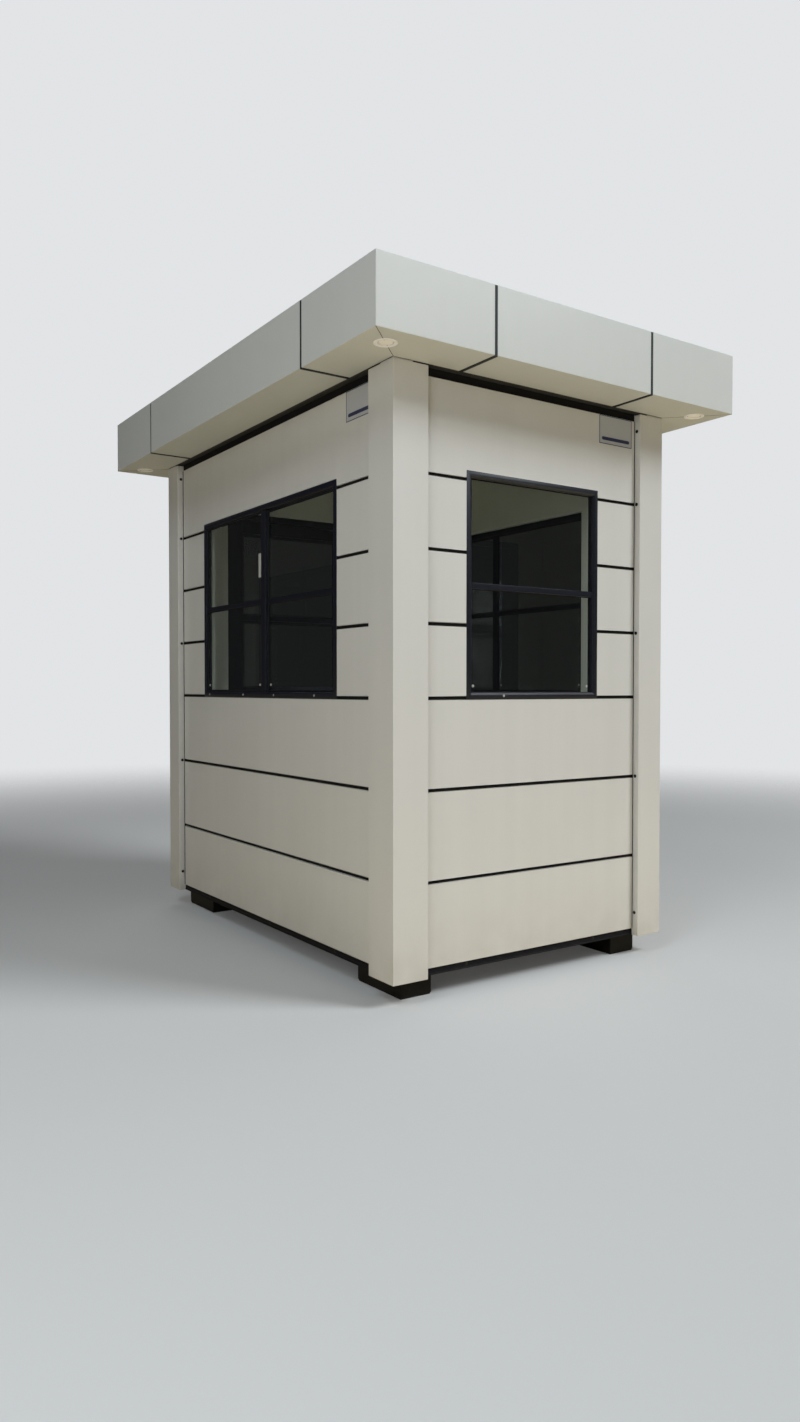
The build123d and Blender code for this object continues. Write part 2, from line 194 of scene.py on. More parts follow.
def sheet_relief_group():
    """Height of a coated sheet in metres: slow waves of the sheet and the fine peel of the coat."""
    made, given = new_group(
        "Sheet relief", "ShaderNodeTree", {"Waves": 0.0, "Peel": 2e-6}, {"Height": "Float"}
    )
    waves = uneven(made, 0.0, given["Waves"], wave_scale, 1.0)
    add(made, "NodeGroupOutput", {"Height": uneven(made, waves, given["Peel"], peel_scale)})
    return made


surface_tone = surface_tone_group()
ground_dust = ground_dust_group()
sheet_relief = sheet_relief_group()


def blank_material(name, **constants):
    """New material with its shader's constant values set on the shader's own sockets."""
    made = bpy.data.materials.new(name)
    made.use_nodes = True
    surface = made.node_tree.nodes["Principled BSDF"]
    for label, value in constants.items():
        surface.inputs[label.replace("_", " ")].default_value = value
    return made, made.node_tree, surface


def grouped(tree, group, **inputs):
    """Outputs of a node group placed in a material with its own values."""
    return add(tree, "ShaderNodeGroup", inputs, node_tree=group).outputs


def finish_with(tree, surface, shown, height=None):
    """Links a group's colour and roughness to the shader, and a height in metres through a bump."""
    for label, output in (("Base Color", "Color"), ("Roughness", "Roughness")):
        tree.links.new(shown[output], surface.inputs[label])
    if height is not None:
        bump = add(tree, "ShaderNodeBump", {"Strength": 1.0, "Distance": 1.0, "Height": height})
        tree.links.new(bump.outputs["Normal"], surface.inputs["Normal"])


def coated(
    name, colour, roughness, patches=0.01, streaks=0.0, waves=0.0, peel=2e-6, dust=0.0, reach=0.3, shine=0.5
):
    """Painted or powder-coated metal, and other plain surfaces with an uneven tone."""
    made, tree, surface = blank_material(name, Specular_IOR_Level=shine)
    tone = grouped(
        tree, surface_tone, Color=(*colour, 1.0), Roughness=roughness, Patches=patches, Streaks=streaks
    )
    dusty = grouped(
        tree, ground_dust, Color=tone["Color"], Roughness=tone["Roughness"], Amount=dust, Reach=reach
    )
    finish_with(tree, surface, dusty, grouped(tree, sheet_relief, Waves=waves, Peel=peel)["Height"])
    return made


def add_box(mesh, low, high):
    """Closed box between two corners."""
    corner = [[min(a, b) for a, b in zip(low, high)], [max(a, b) for a, b in zip(low, high)]]
    spots = [
        mesh.verts.new((corner[i][0], corner[j][1], corner[k][2]))
        for i in (0, 1) for j in (0, 1) for k in (0, 1)
    ]
    for sides in ((0, 1, 3, 2), (4, 6, 7, 5), (0, 4, 5, 1), (2, 3, 7, 6), (0, 2, 6, 4), (1, 5, 7, 3)):
        mesh.faces.new([spots[i] for i in sides])


def round_edges(made, width, steps=2, crease=35.0):
    """Live bevel that rounds a piece's edges."""
    edge = made.modifiers.new("Rounded edges", "BEVEL")
    edge.width = width
    edge.segments = steps
    edge.limit_method = "ANGLE"
    edge.angle_limit = math.radians(crease)
    edge.harden_normals = True
    return made


def made_of(name, mesh, material, rounding=0.0, steps=2, crease=35.0):
    """Object of a closed mesh: outward faces, one material and, where asked for, rounded edges."""
    bmesh.ops.recalc_face_normals(mesh, faces=mesh.faces)
    data = bpy.data.meshes.new(name)
    mesh.to_mesh(data)
    mesh.free()
    data.materials.append(material)
    data.shade_smooth()
    made = bpy.data.objects.new(name, data)
    bpy.context.scene.collection.objects.link(made)
    if rounding:
        return round_edges(made, rounding, steps, crease)
    data.set_sharp_from_angle(angle=math.radians(crease))
    return made


def keep(made, slot, *nodes):
    """The piece rides on the booth and stands for the nodes named, which it hides. The slot is not used."""
    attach(made, "root")
    if nodes:
        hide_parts(*nodes)


def dress(node, material):
    """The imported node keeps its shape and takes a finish."""
    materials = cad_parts[node].data.materials
    materials.clear()
    materials.append(material)


feet_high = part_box("support_feet")[1]
foot_paint = coated(
    "foot paint", black_paint, 0.5, patches=0.06, peel=8e-6, dust=0.02, reach=0.12, shine=0.12
)
rubber = coated("rubber", rubber_black, 0.75, patches=0.05, peel=6e-6, shine=0.2)
feet = bmesh.new()
pads = bmesh.new()
for sx, sy in corners.values():
    outer = Vector((sx * feet_high.x, sy * feet_high.y, 0.0))
    inner = outer - Vector((sx * foot_width, sy * foot_length, 0.0))
    add_box(feet, outer + Vector((0.0, 0.0, pad_thick)), inner + Vector((0.0, 0.0, feet_high.z)))
    inset = Vector((sx * pad_inset, sy * pad_inset, 0.0))
    add_box(pads, outer - inset, inner + inset + Vector((0.0, 0.0, pad_thick)))
keep(made_of("feet", feet, foot_paint, foot_round, 3), "feet_steel", "support_feet")
keep(made_of("foot_pads", pads, rubber, pad_round), "joint_black")


# Base frame. A welded ring of steel rails with joists across it, in dark grey primer and paint.
# The floor sheet lies on the rails and joists.

base_grey = (0.022, 0.022, 0.024)

base_paint = coated(
    "base paint", base_grey, 0.55, patches=0.08, peel=1e-5, dust=0.10, reach=0.2, shine=0.3
)
dress("base_frame", base_paint)


# Floor. A resin-bonded sheet on the joists, covered with grey-brown flecked vinyl. It shows
# through the windows and the door's panes.

vinyl_dark = (0.105, 0.092, 0.080, 1.0)
vinyl_light = (0.235, 0.215, 0.190, 1.0)
fleck_scale = 160.0
fleck_radius = 0.42
vinyl_gloss = (0.45, 0.08)
gloss_scale = 4.0
wear_swing = 0.2
wear_scale = 30.0
grain_scale = 300.0
grain_height = 1e-5


def flecked_vinyl():
    """Vinyl sheet with light and dark flecks."""
    made, tree, surface = blank_material("flecked vinyl")
    flecks = add(tree, "ShaderNodeTexVoronoi", {"Vector": place_on(tree), "Scale": fleck_scale})
    mask = calc(tree, "GREATER_THAN", flecks.outputs["Distance"], fleck_radius)
    shown = {
        "Color": blend(tree, uneven(tree, mask, wear_swing, wear_scale), vinyl_dark, vinyl_light),
        "Roughness": uneven(tree, *vinyl_gloss, gloss_scale, 4.0),
    }
    finish_with(tree, surface, shown, uneven(tree, 0.0, grain_height, grain_scale))
    return made


dress("floor_panel", flecked_vinyl())


# Corner posts. Square steel posts stand in the notched corners of the base and carry the roof
# beam. They are painted cream and hidden behind the column covers outside.

cream = (0.612, 0.603, 0.592)

dress("corner_posts", coated("post paint", cream, 0.45, patches=0.02, peel=6e-6))


# Walls. Foam-cored panels with off-white coated skins stand between the posts, cut out for the
# windows and the doorway. Their inner skin has the shallow ribs that it was rolled with.

skin_white = (0.700, 0.685, 0.630, 1.0)
skin_rib_pitch = 0.100
skin_rib_depth = 0.0006
skin_rib_start = 0.85
sides = ("front", "back", "left", "right")


def ribbed_skin():
    """Off-white skin with shallow upright ribs."""
    made, tree, surface = blank_material("wall skin")
    tone = grouped(tree, surface_tone, Color=skin_white, Roughness=0.42, Streaks=0.008)
    place = split(tree, place_on(tree))
    along = calc(tree, "ADD", place["X"], place["Y"])
    turns = calc(tree, "MULTIPLY", along, 2.0 * math.pi / skin_rib_pitch)
    raised = calc(tree, "GREATER_THAN", calc(tree, "SINE", turns), skin_rib_start)
    finish_with(tree, surface, tone, calc(tree, "MULTIPLY", raised, skin_rib_depth))
    return made


wall_skin = ribbed_skin()
for side in sides:
    dress(f"{side}_wall", wall_skin)


# Cladding. Flat boards of folded, cream-coated sheet hang on each wall in seven rows, with their
# long edges turned in round a small radius. Windows and the doorway interrupt or notch them.

board_round = 0.0022
end_gap = 0.006
side_end_gap = 0.012
cut_fit = 0.0002
plinth_row = 0.339
low_row = 0.3645
light_row = 0.293
joint_width = 0.014
# Brownish tone for a band round each board's face beside the joints: painted shade in the joints, with a
# dirt tint.
shade_and_grime_tone = (0.33, 0.31, 0.26, 1.0)
shade_and_grime_band = 0.016
shade_and_grime_amount = 0.22
shade_and_grime_falloff = 2.5
shade_and_grime_clouds = (0.55, 0.6)
shade_and_grime_cloud_scale = 7.0
short_walls = ("front", "back")
opening_nodes = {
    "front": "front_window_frame",
    "back": "door_frame",
    "left": "left_window_frame",
    "right": "right_window_frame",
}

cover_low, cover_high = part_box("front_left_column_cover")
half_x = -cover_low.x
half_y = -cover_low.y
boards_low, boards_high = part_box("front_cladding")
boards_bottom = boards_low.z
boards_top = boards_high.z
board_face = boards_low.y + half_y
core_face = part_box("front_wall")[0].y + half_y
sill_joint = boards_bottom + plinth_row + 2 * low_row
joint_levels = [boards_bottom + plinth_row + i * low_row for i in range(2)]
joint_levels += [sill_joint + i * light_row for i in range(4)]


def on_wall(side, along, depth, up):
    """Place on a wall: along it, in from the columns' outer face, and up from the ground."""
    sign = -1 if side in ("front", "left") else 1
    if side in short_walls:
        return Vector((along, sign * (half_y - depth), up))
    return Vector((sign * (half_x - depth), along, up))


def direction(side, along, depth):
    """Direction in a wall, by its parts along the wall and in from its face."""
    return (on_wall(side, along, depth, 0.0) - on_wall(side, 0.0, 0.0, 0.0)).normalized()


def outward(side):
    """Direction that a wall faces."""
    return direction(side, 0.0, -1.0)


def half_span(side):
    """Half of a wall's length over its columns."""
    return half_x if side in short_walls else half_y


def cover_legs(sx, sy):
    """Lengths of a column cover's legs along X and along Y, from its packed box."""
    corner = [name for name, signs in corners.items() if signs == (sx, sy)][0]
    low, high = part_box(f"{corner}_column_cover")
    return high.x - low.x, high.y - low.y


def column_gap(side):
    """Stretch of a wall between the returns of its two column covers."""
    sign = -1 if side in ("front", "left") else 1
    if side in short_walls:
        legs = [cover_legs(end, sign)[0] for end in (-1, 1)]
    else:
        legs = [cover_legs(sign, end)[1] for end in (-1, 1)]
    return -half_span(side) + legs[0], half_span(side) - legs[1]


def within(ends, inset):
    """Stretch drawn in by an inset at both ends."""
    return ends[0] + inset, ends[1] - inset


def board_span(side):
    """Stretch of a wall that its boards fill, a gap short of each column cover."""
    return within(column_gap(side), end_gap if side in short_walls else side_end_gap)


def opening_of(side):
    """Stretch and height of a wall's window or door, from its frame."""
    low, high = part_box(opening_nodes[side])
    axis = 0 if side in short_walls else 1
    return (low[axis], high[axis]), (low.z, high.z)


def prism(mesh, near, far):
    """Closed solid between two outlines, each a list of as many places; gives its end faces."""
    ends = [[mesh.verts.new(place) for place in outline] for outline in (near, far)]
    faces = [mesh.faces.new(end) for end in ends]
    for i in range(len(near)):
        j = (i + 1) % len(near)
        mesh.faces.new((ends[0][i], ends[0][j], ends[1][j], ends[1][i]))
    return faces


def slab(mesh, side, outline, depths):
    """Closed solid in a wall: an outline of (along, height) points between two depths."""
    return prism(mesh, *[[on_wall(side, a, depth, z) for a, z in outline] for depth in depths])


def strip_on(mesh, side, section, ends):
    """Closed solid along a wall: a section of (depth, height) points between two ends."""
    return prism(mesh, *[[on_wall(side, a, depth, z) for depth, z in section] for a in ends])


def rectangle(a0, a1, z0, z1):
    """Corners of an upright rectangle in a wall."""
    return [(a0, z0), (a1, z0), (a1, z1), (a0, z1)]


def board_outlines(side):
    """Outline of every board of a wall: whole, split by the opening, or notched over it."""
    start, end = board_span(side)
    (a0, a1), (low, high) = opening_of(side)
    a0, a1, high = a0 - cut_fit, a1 + cut_fit, high + cut_fit
    bottoms = [boards_bottom] + [level + joint_width / 2 for level in joint_levels]
    tops = [level - joint_width / 2 for level in joint_levels] + [boards_top]
    outlines = []
    for z0, z1 in zip(bottoms, tops):
        if high <= z0 or low >= z1 - 2 * cut_fit:
            outlines.append(rectangle(start, end, z0, z1))
        elif high >= z1:
            outlines.append(rectangle(start, a0, z0, z1))
            outlines.append(rectangle(a1, end, z0, z1))
        else:
            notch = [(a0, z0), (a0, high), (a1, high), (a1, z0)]
            outlines.append([(start, z0), *notch, (end, z0), (end, z1), (start, z1)])
    return outlines


def edge_shade_and_grime_group():
    """Painted shade with a dirt tint along a board's edges beside the joints, where the piece's edge
    attribute is high.
    """
    made, given = new_group(
        "Edge shade and grime", "ShaderNodeTree", {"Color": plain_grey, "Amount": 0.2}, {"Color": "Color"}
    )
    edge = add(made, "ShaderNodeAttribute", attribute_name="edge").outputs["Fac"]
    band = calc(made, "POWER", edge, shade_and_grime_falloff)
    mask = masked(made, band, uneven(made, *shade_and_grime_clouds, shade_and_grime_cloud_scale, 6.0), given["Amount"])
    add(made, "NodeGroupOutput", {"Color": blend(made, mask, given["Color"], shade_and_grime_tone)})
    return made


edge_shade_and_grime = edge_shade_and_grime_group()
board_coat = coated(
    "board coat", cream, 0.38, patches=0.012, streaks=0.018, waves=0.0009, dust=0.35, reach=0.42
)
# Each board's face darkens towards its edges beside the joints: painted shade, with a dirt tint.
tree = board_coat.node_tree
board_tone = tree.nodes["Principled BSDF"].inputs["Base Color"]
shaded_and_dirty = grouped(tree, edge_shade_and_grime, Color=board_tone.links[0].from_socket, Amount=shade_and_grime_amount)
tree.links.new(shaded_and_dirty["Color"], board_tone)
for side in sides:
    boards = bmesh.new()
    edge = boards.verts.layers.float.new("edge")
    for outline in board_outlines(side):
        front = slab(boards, side, outline, (board_face, core_face))[0]
        bmesh.ops.inset_region(boards, faces=[front], thickness=shade_and_grime_band, use_even_offset=True)
        # The edge is 1 round a board's face and 0 within; -1 marks a point inside it as done.
        middle = set(front.verts)
        for corner in {v for face in boards.faces for v in face.verts if v[edge] == 0.0} - middle:
            corner[edge] = 1.0
        for corner in middle:
            corner[edge] = -1.0
    for corner in boards.verts:
        corner[edge] = max(corner[edge], 0.0)
    keep(made_of(f"{side}_boards", boards, board_coat, board_round, 3), "board_sheet", f"{side}_cladding")


# Joints between the boards and the strip under the roof. Black-coated strips close the gaps a
# little behind the boards' faces, a deeper one closes the head of each wall, and a black bead
# seals the boards' ends against the column covers.

bead_recess = 0.0008
bead_deep = 0.004
fine_round = 0.0006
joint_matt = (0.009, 0.0085, 0.009)


def wall_box(mesh, side, along, depth, height):
    """Closed box in a wall."""
    add_box(mesh, *[on_wall(side, along[i], depth[i], height[i]) for i in (0, 1)])


joint_paint = coated("joint black", joint_matt, 0.75, patches=0.05, peel=5e-6, shine=0.15)
dress("joint_strips", joint_paint)
dress("head_strips", joint_paint)
seals = bmesh.new()
bead_depth = (board_face + bead_recess, board_face + bead_recess + bead_deep)
for side in sides:
    for along in zip(column_gap(side), board_span(side)):
        wall_box(seals, side, along, bead_depth, (boards_bottom, boards_top))
keep(made_of("end_seals", seals, joint_paint, fine_round), "joint_black")


# Column covers. Each corner wears a cover folded from cream-coated sheet: two legs round the
# corner and a return in to the wall on each leg, screwed through the returns.

sheet_thick = 0.004
fold_round = 0.0019

cover_coat = coated(
    "cover coat", cream, 0.36, patches=0.010, streaks=0.010, waves=0.0005, dust=0.40, reach=0.40
)
for name, (sx, sy) in corners.items():
    leg_x, leg_y = cover_legs(sx, sy)
    cover_section = [
        (0.0, 0.0), (leg_x, 0.0), (leg_x, core_face), (leg_x - sheet_thick, core_face),
        (leg_x - sheet_thick, sheet_thick), (sheet_thick, sheet_thick),
        (sheet_thick, leg_y - sheet_thick), (core_face, leg_y - sheet_thick),
        (core_face, leg_y), (0.0, leg_y),
    ]
    levels = (cover_low.z, cover_high.z)
    cover = bmesh.new()
    prism(cover, *[[(sx * (half_x - u), sy * (half_y - v), z) for u, v in cover_section] for z in levels])
    keep(made_of(f"{name}_cover", cover, cover_coat, fold_round, 3), "cover_sheet", f"{name}_column_cover")


# Cover screws. Five button-head screws with hexagon sockets, blackened, hold each return of
# each column cover to the post behind it.

screw_levels = (0.196, 0.826, 1.482, 2.069, 2.400)
screw_from_face = 0.020
blackened = (0.007, 0.007, 0.007)
screw_profile = [
    (0.0, 0.0), (0.0078, 0.0), (0.0078, 0.0009), (0.0066, 0.0012), (0.0062, 0.0024),
    (0.0048, 0.0034), (0.0032, 0.0038), (0.0021, 0.0038, 6), (0.0021, 0.0016, 6), (0.0, 0.0016),
]


def bridge(mesh, rings):
    """Faces between each ring of points and the next; a ring of one point makes a tip."""
    for ring, following in zip(rings, rings[1:]):
        count = max(len(ring), len(following))
        for i in range(count):
            j = (i + 1) % count
            loop = [ring[i % len(ring)], ring[j % len(ring)], following[j % len(following)]]
            loop.append(following[i % len(following)])
            mesh.faces.new(list(dict.fromkeys(loop)))


def lathe(mesh, profile, centre=Vector(), axis=Vector((0.0, 0.0, 1.0)), count=24):
    """Turned solid: (radius, height) or (radius, height, sides) points go once round the axis."""
    turn = axis.to_track_quat("Z", "Y")
    rings = []
    for radius, height, *flats in profile:
        ring = []
        for i in range(count if radius else 1):
            angle = 2.0 * math.pi * i / count
            reach = radius
            if flats:
                flat = 2.0 * math.pi / flats[0]
                reach = radius / math.cos(angle % flat - flat / 2)
            spot = Vector((reach * math.cos(angle), reach * math.sin(angle), height))
            ring.append(mesh.verts.new(centre + turn @ spot))
        rings.append(ring)
    bridge(mesh, rings)


def give_out(tree, placed, material):
    """Ends a geometry tree: the copies made real, in one material."""
    real = add(tree, "GeometryNodeRealizeInstances", {"Geometry": placed.outputs[0]})
    inputs = {"Geometry": real.outputs[0], "Material": material}
    dressed = add(tree, "GeometryNodeSetMaterial", inputs)
    add(tree, "NodeGroupOutput", {"Geometry": dressed.outputs[0]})


def fixings_tree():
    """Copies of one fixing on loose points, each turned to face its way and spun at random."""
    made, given = new_group(
        "Fixings on points",
        "GeometryNodeTree",
        {"Geometry": "Geometry", "Fixing": "Object", "Spin": math.pi, "Seed": 7, "Material": "Material"},
        {"Geometry": "Geometry"},
    )
    fixing = add(made, "GeometryNodeObjectInfo", {"Object": given["Fixing"]})
    facing = add(made, "GeometryNodeInputNamedAttribute", {"Name": "facing"}, data_type="FLOAT_VECTOR")
    aim = add(made, "FunctionNodeAlignRotationToVector", {"Vector": facing.outputs[0]}, axis="Z")
    chance = add(made, "FunctionNodeRandomValue", {3: given["Spin"], "Seed": given["Seed"]})
    spin = add(made, "FunctionNodeAxisAngleToRotation", {"Angle": chance.outputs[1]})
    turned = add(
        made,
        "FunctionNodeRotateRotation",
        {"Rotation": aim.outputs[0], "Rotate By": spin.outputs[0]},
        rotation_space="LOCAL",
    )
    where = {"Points": given["Geometry"], "Rotation": turned.outputs[0]}
    placed = add(made, "GeometryNodeInstanceOnPoints", {"Instance": fixing.outputs["Geometry"], **where})
    give_out(made, placed, given["Material"])
    return made


def grow(name, tree, sizes, start=None):
    """Plain mesh that a tree makes from a start mesh, with the tree's inputs set by identifier."""
    made = bpy.data.objects.new(name, start or bpy.data.meshes.new(name))
    bpy.context.scene.collection.objects.link(made)
    modifier = made.modifiers.new(name, "NODES")
    modifier.node_group = tree
    for socket in tree.interface.items_tree:
        if socket.in_out == "INPUT" and socket.name in sizes:
            modifier[socket.identifier] = sizes[socket.name]
    evaluated = made.evaluated_get(bpy.context.evaluated_depsgraph_get())
    made_mesh = bpy.data.meshes.new_from_object(evaluated)
    made.modifiers.clear()
    made.data = made_mesh
    return made


fixings_on_points = fixings_tree()


def fixings(name, profile, places, material, slot):
    """One turned fixing at each of the places, given as pairs of place and facing."""
    turned = bmesh.new()
    lathe(turned, profile)
    template = made_of(f"{name}_template", turned, material)
    points = bpy.data.meshes.new(name)
    points.from_pydata([place for place, _ in places], [], [])
    facing = points.attributes.new("facing", "FLOAT_VECTOR", "POINT")
    for spot, (_, way) in zip(facing.data, places):
        spot.vector = way
    made = grow(name, fixings_on_points, {"Fixing": template, "Material": material}, points)
    bpy.data.objects.remove(template)
    keep(made, slot)


screw_black = coated("blackened screws", blackened, 0.55, patches=0.1, peel=4e-6, shine=0.3)
cover_screws = []
for side in sides:
    for along in column_gap(side):
        for level in screw_levels:
            place = on_wall(side, along, screw_from_face, level)
            cover_screws.append((place, direction(side, -along, 0.0)))
fixings("cover_screws", screw_profile, cover_screws, screw_black, "joint_black")


# Skirting. A folded anthracite strip is screwed to the base rail under the boards of each wall,
# with a small drip ridge along its bottom edge.

skirting_fit = 0.0002
skirting_step = 0.0018
ridge_height = 0.0045
ridge_slope = 0.0020
top_slope = 0.0040
top_setback = 0.0045
skirting_screw_level = 0.110
skirting_screws_across = (-0.369, 0.351)
skirting_screws_along = (-0.657, -0.048, 0.657)
anthracite = (0.005, 0.005, 0.008)

skirting_low, skirting_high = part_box("skirting_strips")
skirting_face = skirting_low.y + half_y
skirting_section = [
    (core_face, skirting_low.z),
    (skirting_face, skirting_low.z),
    (skirting_face, skirting_low.z + ridge_height),
    (skirting_face + skirting_step, skirting_low.z + ridge_height + ridge_slope),
    (skirting_face + skirting_step, skirting_high.z - top_slope),
    (skirting_face + top_setback, skirting_high.z),
    (core_face, skirting_high.z),
]
skirting = bmesh.new()
skirting_screws = []
for side in sides:
    strip_on(skirting, side, skirting_section, within(column_gap(side), skirting_fit))
    for along in skirting_screws_across if side in short_walls else skirting_screws_along:
        place = on_wall(side, along, skirting_face + skirting_step, skirting_screw_level)
        skirting_screws.append((place, outward(side)))
skirting_coat = coated(
    "skirting coat", anthracite, 0.55, patches=0.05, peel=4e-6, dust=0.01, reach=0.22, shine=0.12
)
keep(made_of("skirting", skirting, skirting_coat, fine_round), "skirting_steel", "skirting_strips")
fixings("skirting_screws", screw_profile, skirting_screws, screw_black, "joint_black")


# Front window. A fixed frame of anthracite powder-coated aluminium, mitred at the corners, stands
# a little proud of the boards. A bar divides two panes, each held in black rubber.

frame_navy = (0.007, 0.008, 0.015)
frame_face = 0.027
frame_round = 0.0015
frame_depth = 0.038
bar_height = 0.022
bar_setback = 0.008
pane_setback = 0.022
pane_thick = 0.005
rubber_width = 0.0035
rubber_thick = 0.0028
glass_tint = (0.80, 0.84, 0.81, 1.0)
lamp_tint = (0.90, 0.92, 0.905, 1.0)
front_section = [
    (0.0, frame_depth), (0.0, 0.0032), (0.0100, 0.0), (0.0180, 0.0), (0.0186, 0.0010),
    (0.0192, 0.0002), (frame_face, 0.0056), (frame_face, frame_depth),
]

front_along, (window_low, window_high) = opening_of("front")
frame_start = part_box("front_window_frame")[0].y + half_y
bar_level = (window_low + window_high) / 2
powder_coat = coated("frame coat", frame_navy, 0.35, patches=0.04, peel=5e-6, shine=0.35)


def glazing():
    """Clear glass with a slight grey-green tint, which lets the lamps through."""
    made, tree, surface = blank_material(
        "window glass", IOR=1.45, Roughness=0.0, Transmission_Weight=1.0, Specular_IOR_Level=0.35
    )
    tone = grouped(tree, surface_tone, Color=glass_tint, Patches=0.01)
    tree.links.new(tone["Color"], surface.inputs["Base Color"])
    lit_through = add(tree, "ShaderNodeBsdfTransparent", {"Color": lamp_tint})
    shadow = add(tree, "ShaderNodeLightPath").outputs["Is Shadow Ray"]
    inputs = {0: shadow, 1: surface.outputs[0], 2: lit_through.outputs[0]}
    pane = add(tree, "ShaderNodeMixShader", inputs)
    tree.links.new(pane.outputs[0], tree.nodes["Material Output"].inputs["Surface"])
    return made


glass = glazing()


def about(middle, width):
    """Stretch of a width about its middle."""
    return middle - width / 2, middle + width / 2


def mitred_ring(mesh, side, along, height, section, start, foot=1.0):
    """Mitred frame in a wall: a closed section of (inset, depth) points goes round a rectangle."""
    (a0, a1), (z0, z1) = along, height
    loops = []
    for inset, depth in section:
        round_the_frame = rectangle(a0 + inset, a1 - inset, z0 + inset * foot, z1 - inset)
        loops.append([mesh.verts.new(on_wall(side, a, start + depth, z)) for a, z in round_the_frame])
    bridge(mesh, loops + loops[:1])


def rubber_round_pane(mesh, side, along, height, faces):
    """Rubber on both faces of a pane, in the angle between the glass and the frame."""
    lip = [(0.0, -rubber_thick), (rubber_width * 0.5, -rubber_thick * 0.8), (rubber_width, 0.0), (0.0, 0.0)]
    mitred_ring(mesh, side, along, height, lip, faces[0])
    mitred_ring(mesh, side, along, height, [(inset, -depth) for inset, depth in lip], faces[1])


def panes_between(low, high):
    """Heights of the panes under and over the bar, between two levels."""
    return (low, bar_span[0]), (bar_span[1], high)


front_frame = bmesh.new()
mitred_ring(front_frame, "front", front_along, (window_low, window_high), front_section, frame_start)
front_light = within(front_along, frame_face)
bar_span = about(bar_level, bar_height)
bar_depth = (frame_start + bar_setback, frame_start + frame_depth)
wall_box(front_frame, "front", front_light, bar_depth, bar_span)
front_rubber = bmesh.new()
front_lights = panes_between(window_low + frame_face, window_high - frame_face)
front_pane = frame_start + pane_setback
for light in front_lights:
    rubber_round_pane(front_rubber, "front", front_light, light, (front_pane, front_pane + pane_thick))
front_frame = made_of("front_frame", front_frame, powder_coat, frame_round, 3)
keep(front_frame, "window_aluminium", "front_window_frame")
keep(made_of("front_rubber", front_rubber, rubber), "joint_black")
dress("front_window_glass", glass)


# Side windows. The same frame with two tracks carries two sliding sashes, the one behind the
# other, whose wide stiles meet in the middle. Each sash has a bar and two panes in rubber.

sash_rail = 0.008
sash_stile = 0.045
sash_thick = 0.013
sash_round = 0.0012
sash_bar_inset = 0.0015
track_gap = 0.002
track_depth = 0.0030
track_edge = 0.0008

side_section = [(0.0, frame_depth), (0.0, 0.0032), (0.0100, 0.0), (0.0215, 0.0), (frame_face, 0.0035)]
for track in (bar_setback, bar_setback + sash_thick + track_gap):
    side_section += [
        (frame_face, track + track_edge),
        (frame_face - track_depth, track + track_edge),
        (frame_face - track_depth, track + sash_thick - track_edge),
        (frame_face, track + sash_thick - track_edge),
    ]
side_section.append((frame_face, frame_depth))


def sash_of(side, which):
    """A sliding sash from its packed box: its low and high corner, depths, and clear width."""
    low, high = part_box(f"{side}_window_{which}_sash")
    depth = (half_x - max(abs(low.x), abs(high.x)), half_x - min(abs(low.x), abs(high.x)))
    stiles = (sash_stile, sash_rail) if which == "outer" else (sash_rail, sash_stile)
    return low, high, depth, (low.y + stiles[0], high.y - stiles[1])


for side in ("left", "right"):
    along, height = opening_of(side)
    outer_frame = bmesh.new()
    mitred_ring(outer_frame, side, along, height, side_section, frame_start)
    outer_frame = made_of(f"{side}_frame", outer_frame, powder_coat, frame_round, 3)
    keep(outer_frame, "window_aluminium", f"{side}_window_frame")
    side_rubber = bmesh.new()
    for which in ("outer", "inner"):
        low, high, depth, light = sash_of(side, which)
        lights = panes_between(low.z + sash_rail, high.z - sash_rail)
        sash = bmesh.new()
        wall_box(sash, side, (low.y, light[0]), depth, (low.z, high.z))
        wall_box(sash, side, (light[1], high.y), depth, (low.z, high.z))
        wall_box(sash, side, light, depth, (low.z, lights[0][0]))
        wall_box(sash, side, light, depth, (lights[1][1], high.z))
        wall_box(sash, side, light, within(depth, sash_bar_inset), bar_span)
        sash = made_of(f"{side}_{which}_sash", sash, powder_coat, sash_round)
        keep(sash, "window_aluminium", f"{side}_window_{which}_sash")
        for pane in lights:
            rubber_round_pane(side_rubber, side, light, pane, about(sum(depth) / 2, pane_thick))
    keep(made_of(f"{side}_rubber", side_rubber, rubber), "joint_black")
    dress(f"{side}_window_glass", glass)


# Window fittings. Small pale plastic caps cover the drain holes along each bottom rail, and pale
# round dots sit on the panes' lower corners. Each outer sash has a light grey pull beside its stile.

cap_level = 0.0145
cap_profile = [(0.0, 0.0), (0.0052, 0.0), (0.0052, 0.0010), (0.0040, 0.0019), (0.0, 0.0022)]
front_cap = -0.180
side_caps = (0.188, 0.575, 0.907, 1.317)
dot_profile = [(0.0, 0.0), (0.0060, 0.0), (0.0060, 0.0014), (0.0050, 0.0022), (0.0, 0.0024)]
dot_level = 0.028
dot_from_frame = 0.020
pull_width = 0.022
pull_height = 0.115
pull_thick = 0.005
pull_level = 1.821
pull_round = 0.0015
pale_grey = (0.44, 0.44, 0.42)

